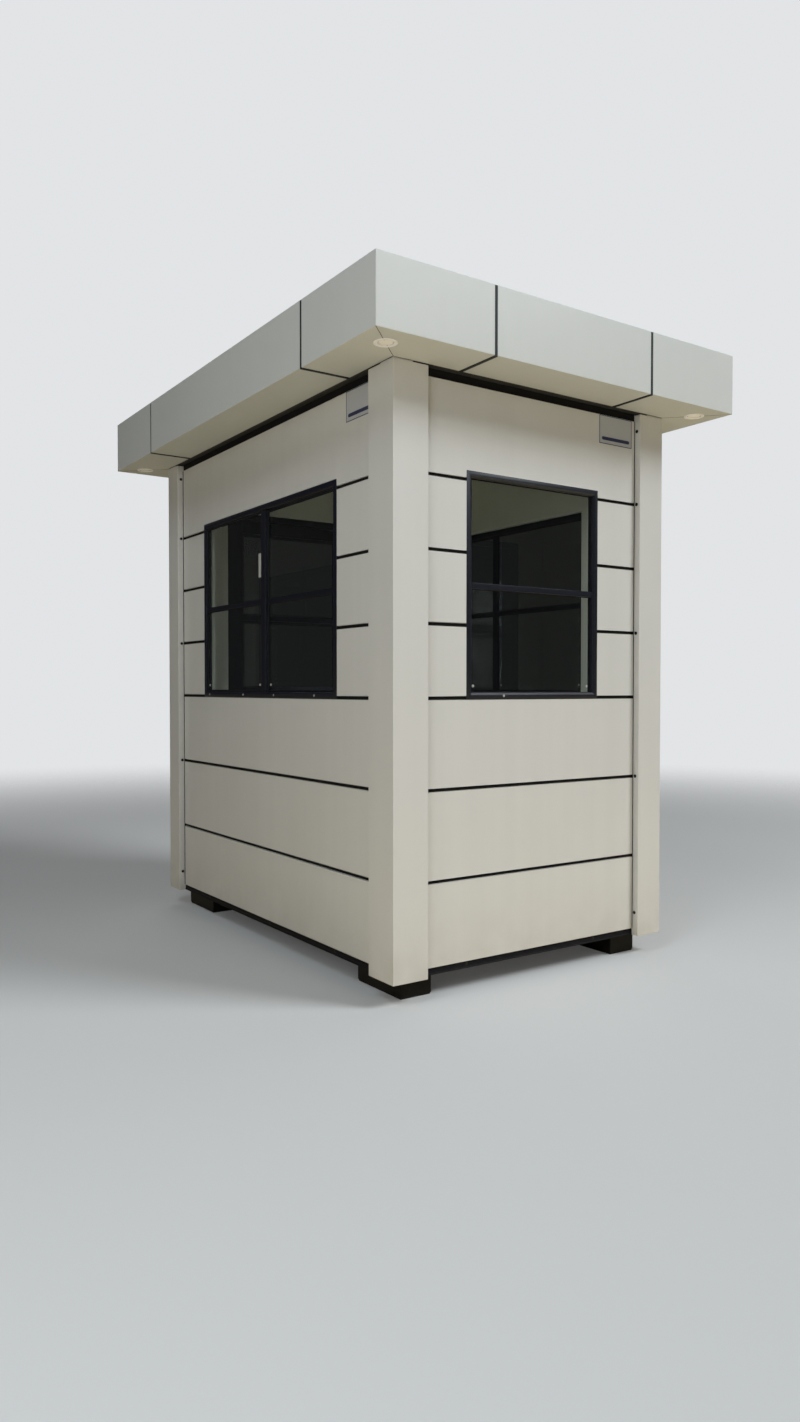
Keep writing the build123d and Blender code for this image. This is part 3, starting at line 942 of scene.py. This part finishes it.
pale_plastic = coated("pale plastic", pale_grey, 0.5, patches=0.04)
caps = [(on_wall("front", front_cap, frame_start, window_low + cap_level), outward("front"))]
pane_pads = []
for along in within(front_light, dot_from_frame):
    place = on_wall("front", along, front_pane, front_lights[0][0] + dot_level)
    pane_pads.append((place, outward("front")))
pulls = bmesh.new()
for side in ("left", "right"):
    for from_start in side_caps:
        along = opening_of(side)[0][0] + from_start
        caps.append((on_wall(side, along, frame_start, window_low + cap_level), outward(side)))
    for which in ("outer", "inner"):
        low, high, depth, light = sash_of(side, which)
        face = about(sum(depth) / 2, pane_thick)[0]
        for along in within(light, dot_from_frame):
            pane_pads.append((on_wall(side, along, face, low.z + sash_rail + dot_level), outward(side)))
        if which == "outer":
            start = light[0] + rubber_width
            pull_along, pull_depth = (start, start + pull_width), (face - pull_thick, face)
            wall_box(pulls, side, pull_along, pull_depth, about(pull_level, pull_height))
fixings("drain_caps", cap_profile, caps, pale_plastic, "spotlight_plastic")
fixings("pane_pads", dot_profile, pane_pads, pale_plastic, "spotlight_plastic")
keep(made_of("sash_pulls", pulls, pale_plastic, pull_round, 3), "spotlight_plastic")


# Door. An aluminium leaf hangs in a mitred frame in the back wall: stiles and rails round two
# panes and a flat lower panel, all held by sloping beads and closed with a rubber seal.

door_face = 0.038
door_depth = 0.060
door_sill = 0.024
leaf_stile = 0.062
leaf_rail = 0.070
leaf_bar_inset = 0.003
panel_thick = 0.020
panel_round = 0.0005
door_round = 0.0015
bead_width = 0.014
bead_thick = 0.010
bead_round = 0.0008
seal_depth = 0.006
seal_thick = 0.005
door_section = [
    (0.0, door_depth), (0.0, 0.0032), (0.0100, 0.0), (0.0300, 0.0), (0.0308, 0.0010),
    (0.0316, 0.0), (door_face, 0.0), (door_face, door_depth),
]

door_along, door_height = opening_of("back")
door_start = half_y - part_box("door_frame")[1].y
surround = bmesh.new()
mitred_ring(surround, "back", door_along, door_height, door_section, door_start, door_sill / door_face)
keep(made_of("door_surround", surround, powder_coat, door_round, 3), "window_aluminium", "door_frame")

leaf_low, leaf_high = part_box("door_leaf")
leaf_along = (leaf_low.x, leaf_high.x)
leaf_depth = (half_y - leaf_high.y, half_y - leaf_low.y)
leaf_light = within(leaf_along, leaf_stile)
leaf_panel = (leaf_low.z + leaf_rail, sill_joint - leaf_rail / 2)
leaf_panes = panes_between(sill_joint + leaf_rail / 2, leaf_high.z - leaf_rail)
leaf_middle = sum(leaf_depth) / 2
leaf = bmesh.new()
for along in ((leaf_along[0], leaf_light[0]), (leaf_light[1], leaf_along[1])):
    wall_box(leaf, "back", along, leaf_depth, (leaf_low.z, leaf_high.z))
rails = ((leaf_low.z, leaf_panel[0]), (leaf_panel[1], leaf_panes[0][0]), (leaf_panes[1][1], leaf_high.z))
for rail in rails:
    wall_box(leaf, "back", leaf_light, leaf_depth, rail)
wall_box(leaf, "back", leaf_light, within(leaf_depth, leaf_bar_inset), bar_span)
keep(made_of("door_leaf_frame", leaf, powder_coat, door_round), "window_aluminium", "door_leaf")

infill = bmesh.new()
wall_box(infill, "back", leaf_light, about(leaf_middle, panel_thick), leaf_panel)
keep(made_of("door_infill", infill, powder_coat, panel_round), "window_aluminium", "door_leaf")

bead_slope = [(0.0, 0.0), (bead_width * 0.4, 0.0), (bead_width, bead_thick * 0.7)]
bead_slope += [(bead_width, bead_thick), (0.0, bead_thick)]
beads = bmesh.new()
door_rubber = bmesh.new()
for light, thick in ((leaf_panel, panel_thick), (leaf_panes[0], pane_thick), (leaf_panes[1], pane_thick)):
    faces = about(leaf_middle, thick)
    outside = [(inset, depth - bead_thick) for inset, depth in bead_slope]
    inside = [(inset, bead_thick - depth) for inset, depth in bead_slope]
    mitred_ring(beads, "back", leaf_light, light, outside, faces[0])
    mitred_ring(beads, "back", leaf_light, light, inside, faces[1])
    held = within(leaf_light, bead_width)
    rubber_round_pane(door_rubber, "back", held, within(light, bead_width), faces)
seal_span = (leaf_depth[0] + seal_depth, leaf_depth[0] + seal_depth + seal_thick)
seal_height = (door_height[0] + door_sill, door_height[1] - door_face)
clear_along = within(door_along, door_face)
for gap in ((clear_along[0], leaf_along[0]), (leaf_along[1], clear_along[1])):
    wall_box(door_rubber, "back", gap, seal_span, seal_height)
wall_box(door_rubber, "back", leaf_along, seal_span, (leaf_high.z, seal_height[1]))
keep(made_of("door_beads", beads, powder_coat, bead_round), "window_aluminium", "door_leaf")
keep(made_of("door_rubber", door_rubber, rubber), "joint_black")
dress("door_glass", glass)


# Door furniture. A lever on a long plate on each face, a lock cylinder under it, three barrel
# hinges on the other stile and a sloping drip bar across the foot of the leaf.

handle_level = 1.120
backplate = (0.030, 0.008, 0.210)
handle_round = 0.0016
lever_radius = 0.0098
lever_bend = 0.016
lever_reach = 0.125
lever_end = 0.003
lever_end_share = 0.80
bend_steps = 6
rod_count = 16
rose_profile = [(0.0, 0.0), (0.0150, 0.0), (0.0150, 0.0030), (0.0135, 0.0045), (0.0, 0.0045)]
cylinder_drop = 0.072
cylinder_profile = [
    (0.0, 0.0), (0.0088, 0.0), (0.0088, 0.0028), (0.0078, 0.0035),
    (0.0022, 0.0035, 4), (0.0022, 0.0010, 4), (0.0, 0.0010),
]
hinge_levels = (0.420, 1.160, 1.980)
hinge_radius = 0.0085
hinge_length = 0.096
hinge_groove = 0.0003
hinge_end = 0.0015
hinge_wing = (0.026, 0.0045, 0.070)
wing_round = 0.0015
drip_profile = [(0.0, 0.0), (0.0185, -0.0020), (0.0185, 0.0020), (0.0025, 0.0220), (0.0, 0.0230)]
drip_level = 0.200
drip_overlap = 0.02
lever_black = (0.022, 0.022, 0.024)


def bent_rod(mesh, path, radius):
    """Round bar along a path, with softened ends."""
    rings = []
    ends = (0, len(path) - 1)
    side = None
    for i, place in enumerate(path):
        way = (path[min(i + 1, ends[1])] - path[max(i - 1, 0)]).normalized()
        side = way.orthogonal() if side is None else side - way * side.dot(way)
        side.normalize()
        other = way.cross(side)
        reach = radius * (lever_end_share if i in ends else 1.0)
        ring = []
        for j in range(rod_count):
            angle = 2.0 * math.pi * j / rod_count
            ring.append(mesh.verts.new(place + reach * (math.cos(angle) * side + math.sin(angle) * other)))
        rings.append(ring)
    bridge(mesh, rings)
    mesh.faces.new(rings[0])
    mesh.faces.new(rings[-1])


handle_low, handle_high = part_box("door_handle")
handle_along = handle_low.x + backplate[0] / 2
plate_along = about(handle_along, backplate[0])
plate_span = about(handle_level, backplate[2])
lever_depths = within((half_y - handle_high.y, half_y - handle_low.y), lever_radius)
handle = bmesh.new()
for face, lever_depth in zip(leaf_depth, lever_depths):
    way = 1.0 if lever_depth > face else -1.0
    plate_face = face + way * backplate[1]
    wall_box(handle, "back", plate_along, (face, plate_face), plate_span)
    path = [on_wall("back", handle_along, plate_face, handle_level)]
    for step in range(bend_steps + 1):
        angle = math.pi / 2 * step / bend_steps
        along = handle_along + lever_bend * (1.0 - math.cos(angle))
        depth = lever_depth - way * lever_bend * (1.0 - math.sin(angle))
        path.append(on_wall("back", along, depth, handle_level))
    tip = handle_along + lever_reach
    path.append(on_wall("back", tip - lever_end, lever_depth, handle_level))
    path.append(on_wall("back", tip, lever_depth, handle_level))
    bent_rod(handle, path, lever_radius)
    outside = direction("back", 0.0, way)
    lathe(handle, rose_profile, path[0], outside)
    keyhole = on_wall("back", handle_along, plate_face, handle_level - cylinder_drop)
    lathe(handle, cylinder_profile, keyhole, outside)
satin_black = coated("satin black", lever_black, 0.30, patches=0.04, peel=1e-6)
keep(made_of("handles", handle, satin_black, handle_round, 3), "handle_metal", "door_handle")

neck = hinge_radius * 0.92
end_radius = hinge_radius * 0.8
hinge_profile = [(0.0, 0.0), (end_radius, 0.0), (hinge_radius, hinge_end)]
for cut in (hinge_length / 3, hinge_length * 2 / 3):
    hinge_profile += [(hinge_radius, cut - 2 * hinge_groove), (neck, cut - hinge_groove)]
    hinge_profile += [(neck, cut + hinge_groove), (hinge_radius, cut + 2 * hinge_groove)]
hinge_profile += [(hinge_radius, hinge_length - hinge_end), (end_radius, hinge_length)]
hinge_profile.append((0.0, hinge_length))
hinges = bmesh.new()
wings = bmesh.new()
barrel_along = (leaf_along[1] + clear_along[1]) / 2
barrel_depth = door_start - hinge_radius * 0.75
for level in hinge_levels:
    lathe(hinges, hinge_profile, on_wall("back", barrel_along, barrel_depth, level - hinge_length / 2))
    for reach, face in ((-hinge_wing[0], leaf_depth[0]), (hinge_wing[0], door_start)):
        wing = ((barrel_along, barrel_along + reach), (face - hinge_wing[1], face))
        wall_box(wings, "back", *wing, about(level, hinge_wing[2]))
keep(made_of("hinges", hinges, satin_black), "handle_metal")
keep(made_of("hinge_wings", wings, satin_black, wing_round, 3), "handle_metal")
drip_section = [(leaf_depth[0] - out, drip_level + up) for out, up in drip_profile]
drip_bar = bmesh.new()
strip_on(drip_bar, "back", drip_section, within(leaf_light, -drip_overlap))
keep(made_of("door_drip_bar", drip_bar, powder_coat, fine_round), "window_aluminium")


# Roof frame and ceiling. A ring of steel beams lies on the posts and walls, and a cream panel
# closes it from below.

beam_black = (0.030, 0.030, 0.032)
ceiling_cream = (0.74, 0.72, 0.66)

dress("roof_beam", coated("beam paint", beam_black, 0.55, patches=0.08, peel=8e-6))
dress("ceiling_panel", coated("ceiling coat", ceiling_cream, 0.45, patches=0.01, peel=5e-6))


# Roof. A foam-cored panel lies on the beams and is covered with a light grey metal sheet, rolled
# with trapezoid ribs, whose edges are turned up against the fascia and screwed down on washers.

sheet_grey = (0.43, 0.44, 0.44)
sheet_gauge = 0.0015
sheet_round = 0.0003
core_round = 0.0008
rib_count = 8
rib_pitch = 0.240
rib_base = 0.046
rib_crest = 0.026
rib_height = 0.016
rib_end = 0.020
rib_round = 0.002
upstand_height = 0.070
upstand_thick = 0.0012
upstand_foot = 0.018
roof_screw_rows = (-1.250, -0.625, 0.0, 0.625, 1.250)
roof_screw_profile = [
    (0.0, 0.0), (0.0095, 0.0), (0.0095, 0.0012), (0.0080, 0.0022), (0.0068, 0.0024),
    (0.0048, 0.0024, 6), (0.0048, 0.0072, 6), (0.0, 0.0076),
]
zinc_grey = (0.36, 0.36, 0.37)


def ribs_tree(sizes):
    """Parallel trapezoid ribs: one block with its top drawn in, repeated on a line."""
    inputs = {**sizes, "Material": "Material"}
    made, given = new_group("Ribs of a rolled sheet", "GeometryNodeTree", inputs, {"Geometry": "Geometry"})
    lengths = {"X": given["Base"], "Y": given["Length"], "Z": given["Height"]}
    size = add(made, "ShaderNodeCombineXYZ", lengths).outputs[0]
    block = add(made, "GeometryNodeMeshCube", {"Size": size})
    place = split(made, add(made, "GeometryNodeInputPosition").outputs[0])
    drawn = calc(made, "MULTIPLY", place["X"], calc(made, "DIVIDE", given["Crest"], given["Base"]))
    narrow = add(made, "ShaderNodeCombineXYZ", {"X": drawn, "Y": place["Y"], "Z": place["Z"]})
    top = calc(made, "GREATER_THAN", place["Z"], 0.0)
    moved = {"Geometry": block.outputs["Mesh"], "Selection": top, "Position": narrow.outputs[0]}
    shaped = add(made, "GeometryNodeSetPosition", moved)
    step = add(made, "ShaderNodeCombineXYZ", {"X": given["Pitch"]}).outputs[0]
    row = {"Count": given["Count"], "Start Location": given["Start"], "Offset": step}
    line = add(made, "GeometryNodeMeshLine", row)
    where = {"Points": line.outputs[0], "Instance": shaped.outputs[0]}
    give_out(made, add(made, "GeometryNodeInstanceOnPoints", where), given["Material"])
    return made


def level_ring(mesh, half, section):
    """Mitred ring that lies level: a closed section of (inset, height) points round a rectangle."""
    loops = []
    for inset, height in section:
        x, y = half[0] - inset, half[1] - inset
        around = rectangle(-x, x, -y, y)
        loops.append([mesh.verts.new((*spot, height)) for spot in around])
    bridge(mesh, loops + loops[:1])


panel_low, panel_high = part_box("roof_panel")
sheet_top = panel_high.z - rib_height
roof_coat = coated("roof coat", sheet_grey, 0.45, patches=0.04, streaks=0.02, waves=0.001, peel=3e-6)
panel_coat = coated("panel coat", cream, 0.45, patches=0.02, peel=4e-6)
core = bmesh.new()
add_box(core, panel_low, (panel_high.x, panel_high.y, sheet_top - sheet_gauge))
keep(made_of("roof_core", core, panel_coat, core_round, 1), "roof_panel", "roof_panel")
covering = bmesh.new()
sheet_half = (panel_high.x, panel_high.y)
add_box(covering, (-panel_high.x, -panel_high.y, sheet_top - sheet_gauge), (*sheet_half, sheet_top))
upstand = [
    (0.0, sheet_top),
    (0.0, sheet_top + upstand_height),
    (upstand_thick, sheet_top + upstand_height),
    (upstand_thick, sheet_top + upstand_thick),
    (upstand_foot, sheet_top + upstand_thick),
    (upstand_foot, sheet_top),
]
level_ring(covering, sheet_half, upstand)
keep(made_of("roof_sheet", covering, roof_coat, sheet_round, 1), "roof_panel", "roof_panel")
first_rib = -rib_pitch * (rib_count - 1) / 2
rib_sizes = {
    "Count": rib_count,
    "Pitch": rib_pitch,
    "Length": 2 * (panel_high.y - rib_end),
    "Base": rib_base,
    "Crest": rib_crest,
    "Height": rib_height,
    "Start": (first_rib, 0.0, sheet_top + rib_height / 2),
}
ribs = grow("roof_ribs", ribs_tree(rib_sizes), {**rib_sizes, "Material": roof_coat})
ribs.data.shade_smooth()
keep(round_edges(ribs, rib_round), "roof_panel", "roof_panel")
zinc = coated("zinc screws", zinc_grey, 0.38, patches=0.1, peel=3e-6)
roof_screws = []
for i in range(rib_count):
    for row in roof_screw_rows:
        spot = Vector((first_rib + i * rib_pitch, row, sheet_top + rib_height))
        roof_screws.append((spot, Vector((0.0, 0.0, 1.0))))
fixings("roof_screws", roof_screw_profile, roof_screws, zinc, "handle_metal")


# Roof edge. Eight cassettes of folded, cream-coated sheet form the soffit, fascia and top edge:
# four at the corners and four between them. Black rubber strips close the joints between them, a
# little proud under the soffit, and a dark line marks each corner's mitre.

overhang = 0.220
corner_piece = 0.533
cassette_joint = 0.015
flange = 0.060
strip_recess = 0.0012
strip_thick = 0.0020
strip_proud = 0.0030
mitre_width = 0.0022
mitre_proud = 0.0004
mitre_stop = 0.002
# A cooler, greener copy of the walls' cream: painted sky light as the fascia catches it, which the soffits
# take too.
sky_tinted_edge_cream = (0.575, 0.586, 0.580)
seal_grey = (0.016, 0.018, 0.022)

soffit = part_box("front_left_roof_cassette")[0].z
strip_top = cad_high.z - strip_recess
edge_coat = coated(
    "roof edge coat", sky_tinted_edge_cream, 0.33, patches=0.010, streaks=0.008, waves=0.0005, shine=0.22
)
strip_outer = strip_recess - overhang
strip_inner = strip_outer + strip_thick
strip_over = soffit + strip_recess + strip_thick
strip_section = [
    (strip_outer, soffit - strip_proud), (strip_outer, strip_top), (flange - overhang, strip_top),
    (flange - overhang, strip_top - strip_thick), (strip_inner, strip_top - strip_thick),
    (strip_inner, strip_over), (0.0, strip_over), (0.0, soffit - strip_proud),
]
for place in (*sides, *corners):
    dress(f"{place}_roof_cassette", edge_coat)
strips = bmesh.new()
for side in sides:
    for end in (-1, 1):
        start = end * (half_span(side) + overhang - corner_piece)
        strip_on(strips, side, strip_section, (start, start - end * cassette_joint))
joint_seal = coated("joint seal", seal_grey, 0.6, patches=0.05, peel=6e-6, shine=0.25)
keep(made_of("cassette_strips", strips, joint_seal, fine_round), "joint_black")
mitres = bmesh.new()
for sx, sy in corners.values():
    across = Vector((sx, -sy, 0.0)).normalized() * mitre_width / 2
    reaches = (overhang - mitre_stop, 0.0)
    ends = [Vector((sx * (half_x + out), sy * (half_y + out), soffit)) for out in reaches]
    outline = [ends[0] - across, ends[0] + across, ends[1] + across, ends[1] - across]
    rise = Vector((0.0, 0.0, mitre_proud))
    prism(mitres, [spot - rise for spot in outline], [spot + rise for spot in outline])
keep(made_of("soffit_mitres", mitres, joint_seal), "joint_black")


# Soffit spotlights. A round spotlight with a flat white rim and a frosted lens is let into the
# soffit at each corner.

rim_radius = 0.045
rim_thick = 0.003
body_radius = 0.0378
lens_radius = 0.027
body_height = 0.045
lens_seat = 0.0060
spot_count = 48
spot_crease = 30.0
rim_tone = (0.90, 0.88, 0.93)
lens_tone = (0.93, 0.91, 0.90, 1.0)
rim_profile = [
    (0.0, body_height), (body_radius - 0.002, body_height), (body_radius, body_height - 0.002),
    (body_radius, 0.0), (rim_radius, 0.0), (rim_radius, -0.0012), (rim_radius - 0.0014, -0.0025),
    (rim_radius - 0.0040, -rim_thick), (rim_radius - 0.0090, -rim_thick),
    (lens_radius + 0.0040, -0.0014), (lens_radius + 0.0026, lens_seat), (0.0, lens_seat),
]
lens_profile = [
    (0.0, -0.0024), (0.0150, -0.0019), (lens_radius - 0.0015, -0.0006), (lens_radius, 0.0008),
    (lens_radius, lens_seat), (0.0, lens_seat),
]

spots_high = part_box("soffit_spotlights")[1]
rims = bmesh.new()
lenses = bmesh.new()
for sx, sy in corners.values():
    centre = Vector((sx * (spots_high.x - rim_radius), sy * (spots_high.y - rim_radius), soffit))
    lathe(rims, rim_profile, centre, count=spot_count)
    lathe(lenses, lens_profile, centre, count=spot_count)
rim_white = coated("spotlight rim", rim_tone, 0.35, patches=0.01, peel=1e-6)
lens_white, tree, surface = blank_material("frosted lens", IOR=1.49)
finish_with(tree, surface, grouped(tree, surface_tone, Color=lens_tone, Roughness=0.45))
rims = made_of("spotlight_rims", rims, rim_white, crease=spot_crease)
keep(rims, "spotlight_plastic", "soffit_spotlights")
lenses = made_of("spotlight_lenses", lenses, lens_white, crease=spot_crease)
keep(lenses, "spotlight_plastic", "soffit_spotlights")


# Name plates. A small aluminium plate is fixed to the top board of the front and left walls. Both
# are blank here: a silver-grey face, a thin dark line round it and a navy bar near the bottom.

plate_thick = 0.0015
plate_round = 0.0005
print_thick = 0.0002
plates = {"front": ((0.371, 0.578), (2.318, 2.446)), "left": ((-0.968, -0.761), (2.319, 2.446))}
line_width = 0.0030
line_margin = 0.0012
bar_inset = 0.016
bar_rise = 0.018
bar_radius = 0.0075
arc_steps = 8
plate_silver = (0.46, 0.47, 0.50)
navy_print = (0.020, 0.028, 0.085)

plate_body = bmesh.new()
plate_print = bmesh.new()
face = board_face - plate_thick
line_end = line_margin + line_width
line = [(line_margin, 0.0), (line_margin, -print_thick), (line_end, -print_thick), (line_end, 0.0)]
for side, (along, height) in plates.items():
    wall_box(plate_body, side, along, (face, board_face), height)
    mitred_ring(plate_print, side, along, height, line, face)
    middle = height[0] + bar_rise + bar_radius
    outline = []
    bar_start, bar_end = within(along, bar_inset + bar_radius)
    for end, way in ((bar_end, -1), (bar_start, 1)):
        for step in range(arc_steps + 1):
            angle = way * math.pi / 2 + math.pi * step / arc_steps
            outline.append((end + bar_radius * math.cos(angle), middle + bar_radius * math.sin(angle)))
    slab(plate_print, side, outline, (face, face - print_thick))
plate_metal = coated("plate aluminium", plate_silver, 0.32, patches=0.03, peel=1e-6)
plate_ink = coated("plate print", navy_print, 0.40, patches=0.03, peel=1e-6)
keep(made_of("plates", plate_body, plate_metal, plate_round), "handle_metal")
keep(made_of("plate_print", plate_print, plate_ink), "joint_black")


# Studio. A wide pale floor fades into a pale backdrop. A large soft key lamp stands high up to
# the right of the front, a fill low to its left, one over the left side and one behind, in an
# even dim light from all round. The floor throws a warm light up under the roof.

floor_seen = (0.58, 0.575, 0.565, 1.0)
floor_lit = (1.0, 0.83, 0.54, 1.0)
floor_lift = 0.05
floor_roughness = 0.9
floor_fade = (4.5, 12.0)
floor_reach = 40.0
lamps = {
    "key": ((6.5, -8.6, 10.2), 5.5, 1410.0, (0.91, 0.965, 1.0)),
    "fill": ((-4.5, -3.8, 2.5), 3.0, 71.0, (0.92, 0.97, 1.0)),
    "sky": ((-5.5, -3.0, 8.5), 4.0, 205.0, (0.86, 0.95, 1.0)),
    "back": ((3.5, 10.0, 8.0), 7.0, 170.0, (0.97, 0.985, 1.0)),
}
lamp_target = Vector((0.0, 0.0, 1.2))
backdrop_white = (0.95, 0.97, 0.99, 1.0)
backdrop_strength = 0.80
ambient_strength = 0.035
through_glass = 0.012
camera_place = (-2.8155, -4.2254, 1.227)
camera_yaw = math.radians(34.29)
camera_pitch = math.radians(-1.30)
camera_lens = 24.73
camera_reach = 200.0

camera = bpy.data.objects.new("camera", bpy.data.cameras.new("camera"))
camera.data.lens = camera_lens
camera.data.clip_end = camera_reach
camera.location = camera_place
level_part = math.cos(camera_pitch)
looking = Vector((math.sin(camera_yaw) * level_part, math.cos(camera_yaw) * level_part, 0.0))
looking.z = math.sin(camera_pitch)
camera.rotation_euler = looking.to_track_quat("-Z", "Y").to_euler()
bpy.context.scene.collection.objects.link(camera)
bpy.context.scene.camera = camera
bpy.context.scene.view_settings.view_transform = "Standard"

ground = bmesh.new()
bmesh.ops.create_circle(ground, cap_ends=True, segments=128, radius=floor_reach)
floor_material, tree, surface = blank_material(
    "studio floor", Roughness=floor_roughness, Emission_Color=(1.0, 1.0, 1.0, 1.0)
)
seen = add(tree, "ShaderNodeLightPath").outputs["Is Camera Ray"]
tree.links.new(blend(tree, seen, floor_lit, floor_seen), surface.inputs["Base Color"])
tree.links.new(calc(tree, "MULTIPLY", seen, floor_lift), surface.inputs["Emission Strength"])
away = add(tree, "ShaderNodeVectorMath", {0: place_on(tree)}, operation="LENGTH").outputs["Value"]
fade = {"Value": away, "From Min": floor_fade[0], "From Max": floor_fade[1]}
gone = add(tree, "ShaderNodeMapRange", fade, interpolation_type="SMOOTHSTEP").outputs[0]
clear = add(tree, "ShaderNodeBsdfTransparent").outputs[0]
fading = add(tree, "ShaderNodeMixShader", {0: gone, 1: surface.outputs[0], 2: clear})
tree.links.new(fading.outputs[0], tree.nodes["Material Output"].inputs["Surface"])
studio_floor = made_of("studio_floor", ground, floor_material)

world = bpy.data.worlds.new("studio light")
bpy.context.scene.world = world
world.use_nodes = True
tree = world.node_tree
paths = add(tree, "ShaderNodeLightPath").outputs
strength = between(tree, paths["Is Camera Ray"], ambient_strength, backdrop_strength)
strength = between(tree, paths["Is Transmission Ray"], strength, through_glass)
tree.nodes["Background"].inputs["Color"].default_value = backdrop_white
tree.links.new(strength, tree.nodes["Background"].inputs["Strength"])

for name, (place, size, power, colour) in lamps.items():
    lamp = bpy.data.objects.new(name, bpy.data.lights.new(name, "AREA"))
    lamp.data.shape = "DISK"
    lamp.data.size = size
    lamp.data.energy = power
    lamp.data.color = colour
    lamp.location = place
    lamp.rotation_euler = (lamp_target - lamp.location).to_track_quat("-Z", "Y").to_euler()
    bpy.context.scene.collection.objects.link(lamp)
